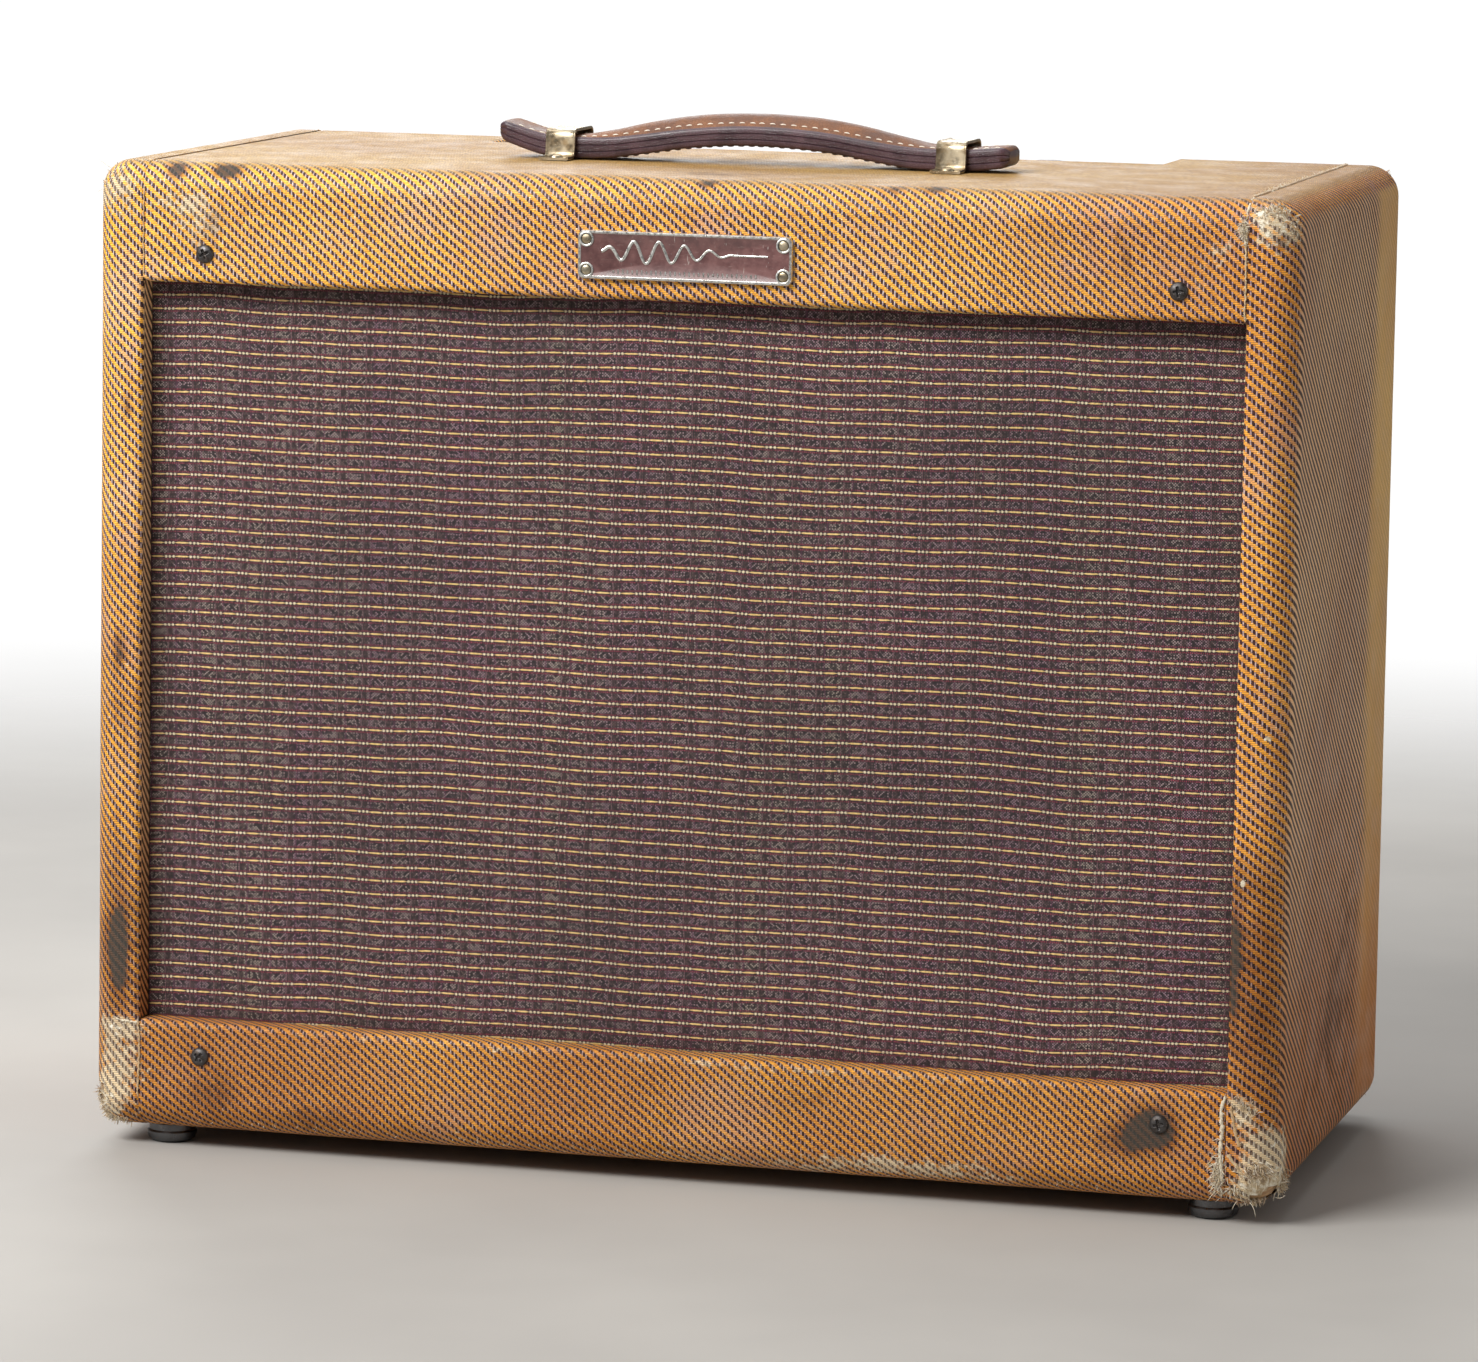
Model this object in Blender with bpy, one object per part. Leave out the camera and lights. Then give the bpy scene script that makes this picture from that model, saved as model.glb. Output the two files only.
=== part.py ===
"""Open-backed valve guitar combo amplifier, built as separate pieces.

Metres, +Z up. The origin is on the floor under the middle of the cabinet, the
grille faces -Y, and the control panel lies in a recess at the top rear edge.
Lengths below are in millimetres and are scaled once, when a mesh is made.
"""
import math

import bmesh
import bpy
from mathutils import Matrix, Vector

MM = 0.001

# Cabinet
WIDTH, DEPTH, HEIGHT = 508.0, 241.3, 408.0
FOOT_HEIGHT = 8.0
BOARD = 19.05
CLOTH = 0.8
SKIN_GAP = 0.15
FIT = 0.3
EDGE_RADIUS = 13.0

BASE = FOOT_HEIGHT
TOP = BASE + HEIGHT
FRONT, REAR = -DEPTH / 2, DEPTH / 2
SIDE = WIDTH / 2
SHELL = CLOTH + SKIN_GAP
INSIDE = SIDE - SHELL - BOARD
CEILING = TOP - SHELL - BOARD
FLOOR = BASE + SHELL + BOARD
PROUD = 2.3

# Front frame and grille
OPENING_X = 232.5
OPENING_LOW, OPENING_HIGH = BASE + 46.9, TOP - 49.8
RAIL_DEPTH = 10.5
GRILLE_THICK = 1.0
BAFFLE_THICK = 8.0
RAIL_BACK = FRONT + SHELL + RAIL_DEPTH
GRILLE_FRONT = RAIL_BACK + FIT
BAFFLE_FRONT = GRILLE_FRONT + GRILLE_THICK + FIT
BAFFLE_BACK = BAFFLE_FRONT + BAFFLE_THICK
SCREW_X = 205.2
SCREW_HIGH, SCREW_LOW = TOP - 37.6, BASE + 32.5
PLATE_W, PLATE_H, PLATE_Z = 90.2, 19.8, TOP - 31.5

# Control recess in the top and the chassis under it
NOTCH_LOW, NOTCH_HIGH, NOTCH_FRONT = -140.0, 157.0, 72.0
STEEL = 1.5
CHASSIS_LOW, CHASSIS_HIGH = NOTCH_LOW - 9.0, NOTCH_HIGH + 9.0
CHASSIS_FRONT, CHASSIS_REAR = NOTCH_FRONT - 6.0, REAR - 10.6
PANEL_Z = CEILING - 0.2
CHASSIS_Z = PANEL_Z - 62.0
CONTROL_Y = 91.0
KNOBS = {"tone_knob": 104.0, "volume_knob_1": 66.0, "volume_knob_2": 28.0}
JACKS = {"input_jack_1": -14.0, "input_jack_2": -46.0, "input_jack_3": -78.0, "input_jack_4": -110.0}
PILOT_X, FUSE_X = 130.0, 147.5

# Back panels
PANEL_THICK = 8.0
UPPER_PANEL_LOW, LOWER_PANEL_HIGH = 268.0, 152.0

# Speaker, on an axis along Y
SPEAKER_Z = 208.0
CUTOUT_R = 139.0
FRAME_R = 153.5

# Valves: name, X, bulb radius, length, base radius, base length
VALVES = [
    ("rectifier_valve", 62.0, 15.0, 80.0, 16.5, 26.0),
    ("power_valve_1", 24.0, 15.0, 80.0, 16.5, 26.0),
    ("power_valve_2", -14.0, 15.0, 80.0, 16.5, 26.0),
    ("preamp_valve_1", -98.0, 10.5, 52.0, 10.0, 4.0),
    ("preamp_valve_2", -130.0, 10.5, 52.0, 10.0, 4.0),
]
VALVE_Y = 88.0
SOCKET_DROP = 6.0

# Carrying handle
HANDLE_X, HANDLE_Y = 4.0, -12.0
LOOP_REACH = 84.6
LOOP_WIDTH = 13.0
STRAP_HALF_WIDTH = 12.0

FOOT_X, FOOT_Y, FOOT_R = 224.5, 100.0, 10.5


def new_object(name, verts, faces):
    """A closed mesh object from millimetre points, with its faces turned outwards."""
    mesh = bpy.data.meshes.new(name)
    mesh.from_pydata([Vector(v) * MM for v in verts], [], faces)
    bm = bmesh.new()
    bm.from_mesh(mesh)
    bmesh.ops.recalc_face_normals(bm, faces=bm.faces)
    bm.to_mesh(mesh)
    bm.free()
    obj = bpy.data.objects.new(name, mesh)
    bpy.context.scene.collection.objects.link(obj)
    return obj


def box(name, low, high):
    (x0, y0, z0), (x1, y1, z1) = low, high
    verts = [(x, y, z) for x in (x0, x1) for y in (y0, y1) for z in (z0, z1)]
    faces = [(0, 1, 3, 2), (4, 6, 7, 5), (0, 4, 5, 1), (2, 3, 7, 6), (0, 2, 6, 4), (1, 5, 7, 3)]
    return new_object(name, verts, faces)


def boxes(name, corners):
    """Several boxes that don't touch, as one cutter."""
    bm = bmesh.new()
    for low, high in corners:
        one = box("piece", low, high)
        bm.from_mesh(one.data)
        bpy.data.objects.remove(one)
    mesh = bpy.data.meshes.new(name)
    bm.to_mesh(mesh)
    bm.free()
    obj = bpy.data.objects.new(name, mesh)
    bpy.context.scene.collection.objects.link(obj)
    return obj


def rounded_box(name, low, high, radius, segments=4):
    obj = box(name, low, high)
    bm = bmesh.new()
    bm.from_mesh(obj.data)
    bmesh.ops.bevel(
        bm, geom=bm.edges[:], offset=radius * MM, offset_type="OFFSET",
        segments=segments, profile=0.5, affect="EDGES", clamp_overlap=True,
    )
    bm.to_mesh(obj.data)
    bm.free()
    return obj


def prism(name, outline, axis, low, high):
    """An outline of (a, b) points, extruded along X, Y or Z."""
    place = {
        "X": lambda a, b, t: (t, a, b),
        "Y": lambda a, b, t: (a, t, b),
        "Z": lambda a, b, t: (a, b, t),
    }[axis]
    n = len(outline)
    verts = [place(a, b, low) for a, b in outline] + [place(a, b, high) for a, b in outline]
    faces = [tuple(range(n)), tuple(range(2 * n - 1, n - 1, -1))]
    faces += [(i, (i + 1) % n, n + (i + 1) % n, n + i) for i in range(n)]
    return new_object(name, verts, faces)


def turned(name, profile, axis, centre, segments=24):
    """A profile of (radius, height) points turned round Z, or round Y as (radius, y).

    A profile that starts and ends on the axis is a plain solid; one that keeps
    off the axis is a ring, with its hole left open.
    """
    verts, rings = [], []
    for radius, along in profile:
        if radius < 1e-6:
            rings.append([len(verts)])
            steps = 1
        else:
            rings.append(list(range(len(verts), len(verts) + segments)))
            steps = segments
        for i in range(steps):
            turn = 2 * math.pi * i / segments
            u, v = radius * math.cos(turn), radius * math.sin(turn)
            if axis == "Z":
                verts.append((centre[0] + u, centre[1] + v, along))
            else:
                verts.append((centre[0] + u, along, centre[1] + v))
    faces = []
    pairs = list(zip(rings, rings[1:]))
    if profile[0][0] > 1e-6:
        pairs.append((rings[-1], rings[0]))
    for a, b in pairs:
        for i in range(segments):
            j = (i + 1) % segments
            quad = [a[i % len(a)], a[j % len(a)], b[j % len(b)], b[i % len(b)]]
            face = tuple(dict.fromkeys(quad))
            if len(face) > 2:
                faces.append(face)
    return new_object(name, verts, faces)


def rod(name, centre, radius, low, high, axis="Z", segments=16):
    return turned(name, [(0, low), (radius, low), (radius, high), (0, high)], axis, centre, segments)


def combine(target, tool, operation):
    """Cut, join or trim target with tool, and remove the tool."""
    modifier = target.modifiers.new("combine", "BOOLEAN")
    modifier.operation = operation
    modifier.solver = "EXACT"
    modifier.object = tool
    graph = bpy.context.evaluated_depsgraph_get()
    mesh = bpy.data.meshes.new_from_object(target.evaluated_get(graph))
    target.modifiers.clear()
    target.data = mesh
    bpy.data.objects.remove(tool)
    bm = bmesh.new()
    bm.from_mesh(mesh)
    bmesh.ops.remove_doubles(bm, verts=bm.verts[:], dist=1e-6)
    bmesh.ops.dissolve_limit(
        bm, angle_limit=math.radians(0.05), verts=bm.verts[:], edges=bm.edges[:],
    )
    bm.to_mesh(mesh)
    bm.free()
    return target


def cut(target, tool):
    return combine(target, tool, "DIFFERENCE")


def join(target, tool):
    return combine(target, tool, "UNION")


def envelope(name, inset):
    """The cabinet's rounded outside, set in by a distance."""
    return rounded_box(
        name,
        (-SIDE + inset, FRONT + inset, BASE + inset),
        (SIDE - inset, REAR - inset, TOP - inset),
        EDGE_RADIUS - inset,
    )


def control_notch(name):
    return box(name, (NOTCH_LOW, NOTCH_FRONT, CEILING - 5), (NOTCH_HIGH, REAR + 20, TOP + 5))


def finger_slots(name, side, level, for_side_board):
    """Cutters for a box joint's fingers at one corner of the cabinet."""
    count = 9
    step = DEPTH / count
    slack = SKIN_GAP / 2
    x0, x1 = (INSIDE - (0 if for_side_board else SKIN_GAP), SIDE + 5)
    if for_side_board:
        x0 -= 5
    low, high = (CEILING - SKIN_GAP, TOP + 5) if level == "top" else (BASE - 5, FLOOR + SKIN_GAP)
    if not for_side_board:
        low, high = low - 5, high + 5
    corners = []
    for i in range(count):
        if (i % 2 == 0) == for_side_board:
            near, far = FRONT + i * step - slack, FRONT + (i + 1) * step + slack
            xs = sorted((side * x0, side * x1))
            corners.append(((xs[0], near, low), (xs[1], far, high)))
    return boxes(name, corners)


def make_boards():
    """Four pine boards with box joints, trimmed to the rounded outside."""
    over = 5.0
    boards = {
        "top_board": box(
            "top_board", (-SIDE - over, FRONT - over, CEILING), (SIDE + over, REAR + over, TOP + over)),
        "bottom_board": box(
            "bottom_board", (-SIDE - over, FRONT - over, BASE - over), (SIDE + over, REAR + over, FLOOR)),
    }
    for side, name in ((-1, "left_side_board"), (1, "right_side_board")):
        xs = sorted((side * INSIDE, side * (SIDE + over)))
        board = box(name, (xs[0], FRONT - over, BASE - over), (xs[1], REAR + over, TOP + over))
        for level in ("top", "bottom"):
            cut(board, finger_slots("slots", side, level, True))
        boards[name] = board
    for level in ("top", "bottom"):
        for side in (-1, 1):
            cut(boards[level + "_board"], finger_slots("slots", side, level, False))
    for board in boards.values():
        combine(board, envelope("outside", SHELL), "INTERSECT")
    cut(boards["top_board"], control_notch("notch"))
    for x in (-FOOT_X, FOOT_X):
        for y in (-FOOT_Y, FOOT_Y):
            cut(boards["bottom_board"], rod("nail_hole", (x, y), 1.7, BASE - 5, BASE + 14, segments=10))


def make_covers():
    """The woven covering, as four skins that wrap round the boards and the front frame."""
    over = 20.0
    regions = {
        "left_cover": ((-SIDE - over, FRONT - over, BASE - over), (-OPENING_X, REAR + over, TOP + over)),
        "right_cover": ((OPENING_X, FRONT - over, BASE - over), (SIDE + over, REAR + over, TOP + over)),
        "top_cover": (
            (-OPENING_X + SKIN_GAP, FRONT - over, SPEAKER_Z), (OPENING_X - SKIN_GAP, REAR + over, TOP + over)),
        "bottom_cover": (
            (-OPENING_X + SKIN_GAP, FRONT - over, BASE - over), (OPENING_X - SKIN_GAP, REAR + over, SPEAKER_Z)),
    }
    for name, (low, high) in regions.items():
        skin = envelope(name, 0)
        cut(skin, envelope("inside", CLOTH))
        cut(skin, box(
            "front_opening", (-OPENING_X, FRONT - 9, OPENING_LOW), (OPENING_X, FRONT + 30, OPENING_HIGH)))
        cut(skin, box("back_opening", (-INSIDE, REAR - 30, FLOOR), (INSIDE, REAR + 9, CEILING)))
        combine(skin, box("region", low, high), "INTERSECT")
        if name == "top_cover":
            cut(skin, control_notch("notch"))
            for x in (-SCREW_X, SCREW_X):
                cut(skin, rod("hole", (x, SCREW_HIGH), 2.3, FRONT - 5, FRONT + 5, "Y"))
        if name == "bottom_cover":
            for x in (-SCREW_X, SCREW_X):
                cut(skin, rod("hole", (x, SCREW_LOW), 2.3, FRONT - 5, FRONT + 5, "Y"))
            for x in (-FOOT_X, FOOT_X):
                for y in (-FOOT_Y, FOOT_Y):
                    cut(skin, rod("nail_hole", (x, y), 1.7, BASE - 5, BASE + 5, segments=10))


def make_front():
    """Front rails, the baffle with the speaker's cut-out, the grille, its screws and the badge."""
    wide = INSIDE - FIT
    lip = CLOTH + SKIN_GAP
    top_rail = box("front_top_rail", (-wide, FRONT + SHELL, OPENING_HIGH + lip), (wide, RAIL_BACK, CEILING - FIT))
    bottom_rail = box(
        "front_bottom_rail", (-wide, FRONT + SHELL, FLOOR + FIT), (wide, RAIL_BACK, OPENING_LOW - lip))
    grille = box(
        "grille_cloth", (-wide + 1, GRILLE_FRONT, FLOOR + 1), (wide - 1, GRILLE_FRONT + GRILLE_THICK, CEILING - 1))
    baffle = box("baffle_board", (-wide + 1, BAFFLE_FRONT, FLOOR + 1), (wide - 1, BAFFLE_BACK, CEILING - 1))
    cut(baffle, rod("cutout", (0, SPEAKER_Z), CUTOUT_R, BAFFLE_FRONT - 5, BAFFLE_BACK + 5, "Y", 64))
    names = iter(("front_screw_top_left", "front_screw_top_right",
                  "front_screw_bottom_left", "front_screw_bottom_right"))
    for z, rail in ((SCREW_HIGH, top_rail), (SCREW_LOW, bottom_rail)):
        for x in (-SCREW_X, SCREW_X):
            for board in (rail, grille, baffle):
                cut(board, rod("hole", (x, z), 2.3, FRONT - 5, BAFFLE_BACK + 5, "Y"))
            head = [(0, FRONT - PROUD), (1.8, FRONT - PROUD + 0.3), (3.2, FRONT - PROUD + 1.1),
                    (3.9, FRONT - 0.1), (2.0, FRONT - 0.1), (2.0, BAFFLE_BACK + 2), (0, BAFFLE_BACK + 4)]
            screw = turned(next(names), head, "Y", (x, z), 20)
            for along, across in ((2.4, 0.45), (0.45, 2.4)):
                depth = FRONT - PROUD + 1.3
                cut(screw, box("slot", (x - along, FRONT - 5, z - across), (x + along, depth, z + across)))
    make_plate()


def rounded_outline(width, height, radius, centre, steps=3):
    """A rectangle with round corners, as (a, b) points."""
    points = []
    for sx, sz, start in ((1, 1, 0), (-1, 1, 90), (-1, -1, 180), (1, -1, 270)):
        for i in range(steps + 1):
            turn = math.radians(start + 90 * i / steps)
            points.append((centre[0] + sx * (width / 2 - radius) + radius * math.cos(turn),
                           centre[1] + sz * (height / 2 - radius) + radius * math.sin(turn)))
    return points


def make_plate():
    """The blank metal badge on the top rail, with its four round-headed pins."""
    centre = (1.2, PLATE_Z)
    plate = prism("nameplate", rounded_outline(PLATE_W, PLATE_H, 3.0, centre), "Y", FRONT - 1.6, FRONT - 0.1)
    for sx in (-1, 1):
        for sz in (-1, 1):
            pin = (centre[0] + sx * (PLATE_W / 2 - 3.6), centre[1] + sz * (PLATE_H / 2 - 3.6))
            dome = [(0, FRONT - PROUD), (1.0, FRONT - PROUD + 0.2), (1.6, FRONT - 1.2), (0, FRONT - 1.2)]
            join(plate, turned("pin", dome, "Y", pin, 10))


def make_back():
    """Two back panels with a gap between them, on two upright cleats, with their screws."""
    wide = INSIDE - FIT - 0.3
    front = REAR - PANEL_THICK
    panels = (
        ("upper_back_panel", UPPER_PANEL_LOW, CEILING - 0.4, UPPER_PANEL_LOW + 60),
        ("lower_back_panel", FLOOR + 0.4, LOWER_PANEL_HIGH, 90.0),
    )
    cleats = []
    for side, name in ((-1, "left_back_cleat"), (1, "right_back_cleat")):
        xs = sorted((side * (INSIDE - 19.5), side * (INSIDE - FIT)))
        cleats.append(box(name, (xs[0], front - 14.0 - FIT, FLOOR + FIT), (xs[1], front - FIT, CEILING - FIT)))
    for name, low, high, screw_z in panels:
        panel = box(name, (-wide, front, low), (wide, REAR - 0.1, high))
        for side, label in ((-1, "left"), (1, "right")):
            x = side * (INSIDE - 10)
            hole = (front - 20, REAR + 5)
            cut(panel, rod("hole", (x, screw_z), 2.3, *hole, "Y"))
            cut(cleats[0 if side < 0 else 1], rod("hole", (x, screw_z), 2.3, *hole, "Y"))
            head = [(0, front - 13), (2.0, front - 10), (2.0, REAR), (4.2, REAR), (3.3, REAR + 1.4),
                    (1.6, REAR + PROUD - 0.2), (0, REAR + PROUD)]
            turned("%s_screw_%s" % (name, label), head, "Y", (x, screw_z), 16)


def make_feet():
    """Domed metal glides with a nail up into the bottom board."""
    corners = (("front_left", -1, -1), ("front_right", 1, -1), ("rear_left", -1, 1), ("rear_right", 1, 1))
    for label, sx, sy in corners:
        profile = [(0, 0), (5.0, 0), (8.5, 1.2), (FOOT_R, 4.0), (FOOT_R, FOOT_HEIGHT - 0.1),
                   (1.4, FOOT_HEIGHT - 0.1), (1.4, BASE + 11), (0, BASE + 13)]
        turned("foot_" + label, profile, "Z", (sx * FOOT_X, sy * FOOT_Y), 24)


STRAP_PATH = [
    # x from the handle's middle, height of the underside, thickness at the edge, crown
    (-112.5, 7.6, 8.4, 0.2),
    (-106.0, 5.4, 8.8, 0.3),
    (-96.0, 2.2, 9.0, 0.3),
    (-88.0, 0.8, 9.0, 0.3),
    (-76.0, 0.5, 9.0, 0.3),
    (-64.0, 1.0, 8.8, 0.8),
    (-48.0, 3.4, 8.4, 2.0),
    (-30.0, 6.2, 8.2, 3.0),
    (-10.0, 7.9, 8.2, 3.6),
    (10.0, 7.9, 8.2, 3.6),
    (30.0, 6.4, 8.2, 3.0),
    (48.0, 3.6, 8.4, 2.0),
    (64.0, 1.2, 8.8, 0.8),
    (76.0, 0.5, 9.0, 0.3),
    (88.0, 0.6, 9.0, 0.3),
    (98.0, 1.0, 9.2, 0.3),
    (108.5, 2.2, 9.0, 0.2),
]


def make_handle():
    """The layered leather strap and the two metal loops that hold its ends."""
    verts, faces = [], []
    for x, under, thick, crown in STRAP_PATH:
        w = STRAP_HALF_WIDTH
        section = [(-w, 1.0), (-w + 1, 0), (w - 1, 0), (w, 1.0), (w, thick - 1), (w - 1.5, thick),
                   (w / 2, thick + crown * 0.75), (0, thick + crown), (-w / 2, thick + crown * 0.75),
                   (-w + 1.5, thick), (-w, thick - 1)]
        verts += [(HANDLE_X + x, HANDLE_Y + y, TOP + under + z) for y, z in section]
    n = 11
    for k in range(len(STRAP_PATH) - 1):
        faces += [(k * n + i, k * n + (i + 1) % n, (k + 1) * n + (i + 1) % n, (k + 1) * n + i) for i in range(n)]
    faces += [tuple(range(n)), tuple(range(len(verts) - 1, len(verts) - 1 - n, -1))]
    new_object("handle_strap", verts, faces)

    t = 1.1
    inner, foot, roof = STRAP_HALF_WIDTH + 0.6, STRAP_HALF_WIDTH + 12.0, 11.5
    for side, name in ((-1, "handle_loop_left"), (1, "handle_loop_right")):
        half = [(foot, 0.1), (foot, t), (inner + t, t), (inner + t, roof - 1), (inner, roof + t)]
        back = [(inner - 1.5, roof), (inner, roof - 2), (inner, 0.1)]
        outline = half + [(-a, b) for a, b in reversed(half)] + [(-a, b) for a, b in reversed(back)] + back
        outline = [(HANDLE_Y + a, TOP + b) for a, b in outline]
        x = HANDLE_X + side * LOOP_REACH
        loop = prism(name, outline, "X", x - LOOP_WIDTH / 2, x + LOOP_WIDTH / 2)
        for sy in (-1, 1):
            dome = [(0, TOP + 0.6), (2.9, TOP + 0.6), (2.9, TOP + t + 0.4), (1.7, TOP + t + 1.6),
                    (0, TOP + t + 2.0)]
            join(loop, turned("screw", dome, "Z", (x, HANDLE_Y + sy * (foot - 4.2)), 14))


def make_chassis():
    """A folded steel channel, open to the rear, with the control panel as its upper face."""
    low, high = CHASSIS_Z, PANEL_Z
    outline = [
        (CHASSIS_FRONT, low), (CHASSIS_REAR, low), (CHASSIS_REAR, low + STEEL),
        (CHASSIS_FRONT + STEEL, low + STEEL),
        (CHASSIS_FRONT + STEEL, high - STEEL), (CHASSIS_REAR, high - STEEL), (CHASSIS_REAR, high),
        (CHASSIS_FRONT, high),
    ]
    chassis = prism("chassis", outline, "X", CHASSIS_LOW, CHASSIS_HIGH)
    for x0, x1 in ((CHASSIS_LOW, CHASSIS_LOW + STEEL), (CHASSIS_HIGH - STEEL, CHASSIS_HIGH)):
        join(chassis, box("end", (x0, CHASSIS_FRONT + 0.2, low + 0.2), (x1, CHASSIS_REAR - 0.2, high - 0.2)))
    for x in list(KNOBS.values()) + list(JACKS.values()):
        cut(chassis, rod("hole", (x, CONTROL_Y), 4.9, high - 5, high + 5, segments=20))
    cut(chassis, rod("hole", (PILOT_X, CONTROL_Y), 7.6, high - 5, high + 5, segments=20))
    cut(chassis, rod("hole", (FUSE_X, CONTROL_Y), 5.2, high - 5, high + 5, segments=20))
    for name, x, bulb, length, base_r, base_len in VALVES:
        collar = [(0, low - SOCKET_DROP), (base_r - 2, low - SOCKET_DROP), (base_r, low - SOCKET_DROP + 2),
                  (base_r, low + 1), (0, low + 1)]
        join(chassis, turned("socket", collar, "Z", (x, VALVE_Y), 20))


def make_valves():
    top = CHASSIS_Z - SOCKET_DROP - FIT
    for name, x, bulb, length, base_r, base_len in VALVES:
        tip = top - length
        profile = [(0, top), (base_r, top), (base_r, top - base_len), (bulb, top - base_len - 1.5),
                   (bulb, tip + bulb * 0.7), (bulb * 0.8, tip + bulb * 0.25), (bulb * 0.35, tip + 1.5), (0, tip)]
        turned(name, profile, "Z", (x, VALVE_Y), 20)


def make_controls():
    """Jacks, potentiometers, knobs, pilot lamp and fuse, all on the panel."""
    face = PANEL_Z
    under = PANEL_Z - STEEL
    for name, x in JACKS.items():
        profile = [(3.2, face + 3.6), (4.7, face + 3.6), (4.7, face + 2.5), (7.0, face + 2.5), (7.0, face + 0.1),
                   (4.7, face + 0.1), (4.7, under - 0.1), (8.5, under - 0.1), (8.5, under - 20), (3.2, under - 20)]
        turned(name, profile, "Z", (x, CONTROL_Y), 20)
    for name, x in KNOBS.items():
        pot = name.replace("knob", "pot")
        profile = [(3.2, face + 2.6), (4.7, face + 2.6), (4.7, face + 2.2), (6.4, face + 2.2), (6.4, face + 0.1),
                   (4.7, face + 0.1), (4.7, under - 0.1), (11.8, under - 0.1), (12.0, under - 11),
                   (3.2, under - 11)]
        turned(pot, profile, "Z", (x, CONTROL_Y), 24)
        make_knob(name, x, face)
    pilot = [(0, face + 12.0), (3.5, face + 11.2), (6.2, face + 8.0), (6.6, face + 3.0), (8.0, face + 2.6),
             (8.3, face + 0.1), (7.4, face + 0.1), (7.4, face - 26), (0, face - 26)]
    turned("pilot_lamp", pilot, "Z", (PILOT_X, CONTROL_Y), 24)
    holder = [(2.8, face + 3.0), (5.6, face + 3.0), (6.2, face + 2.4), (6.2, face + 0.1), (5.0, face + 0.1),
              (5.0, face - 34), (2.8, face - 34)]
    turned("fuse_holder", holder, "Z", (FUSE_X, CONTROL_Y), 20)
    cap = [(0, face + 10.5), (4.2, face + 10.5), (5.2, face + 9.6), (5.4, face + 3.4), (2.6, face + 3.4),
           (2.6, face - 20), (0, face - 20)]
    cap = turned("fuse_cap", cap, "Z", (FUSE_X, CONTROL_Y), 20)
    cut(cap, box("slot", (FUSE_X - 8, CONTROL_Y - 0.6, face + 9.0), (FUSE_X + 8, CONTROL_Y + 0.6, face + 15)))


def make_knob(name, x, face):
    """A pointer knob on its shaft. At rest the pointer faces the front of the cabinet."""
    low, high = face + 3.0, face + 18.6
    profile = [(0, low + 4.5), (9.0, low + 4.5), (9.6, low), (3.05, low), (3.05, face - 12), (0, face - 12)]
    knob = turned(name, profile, "Z", (x, CONTROL_Y), 24)
    body = []
    for along, across in ((16.2, 1.1), (8.0, 4.4), (2.0, 7.2), (-4.5, 7.4), (-8.8, 4.6), (-10.2, 0)):
        body.append((x + across, CONTROL_Y - along))
    body += [(2 * x - a, b) for a, b in reversed(body[:-1])]
    join(knob, prism("pointer", body, "Z", low + 3.0, high))


def make_transformers():
    """Two transformers under the chassis: iron stacks with their covers and coils."""
    parts = (("power_transformer", 124.0, 34.0, 22.0, 58.0), ("output_transformer", -57.0, 21.0, 16.0, 40.0))
    for name, x, half_x, half_y, height in parts:
        top = CHASSIS_Z - FIT
        y = VALVE_Y
        body = box(name, (x - half_x, y - half_y * 0.55, top - height), (x + half_x, y + half_y * 0.55, top))
        cover = rounded_box(
            "cover", (x - half_x * 0.72, y - half_y, top - height * 0.86),
            (x + half_x * 0.72, y + half_y, top - height * 0.12), 5.0, 2)
        join(body, cover)


def make_circuit_board():
    """The component board, on short posts over the floor of the chassis."""
    low = CHASSIS_Z + STEEL + 4
    board = box("circuit_board", (-128, 74, low), (150, 105, low + 2))
    for x in (-122, 144):
        for y in (79, 100):
            join(board, rod("post", (x, y), 3.0, low - 3.9, low + 1, segments=10))
    for i in range(7):
        x = -110 + 38 * i
        length = 9 if i % 2 else 12
        join(board, rod("capacitor", (x, low + 5.5), 4.0, 89 - length, 89 + length, "Y", 12))


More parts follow.
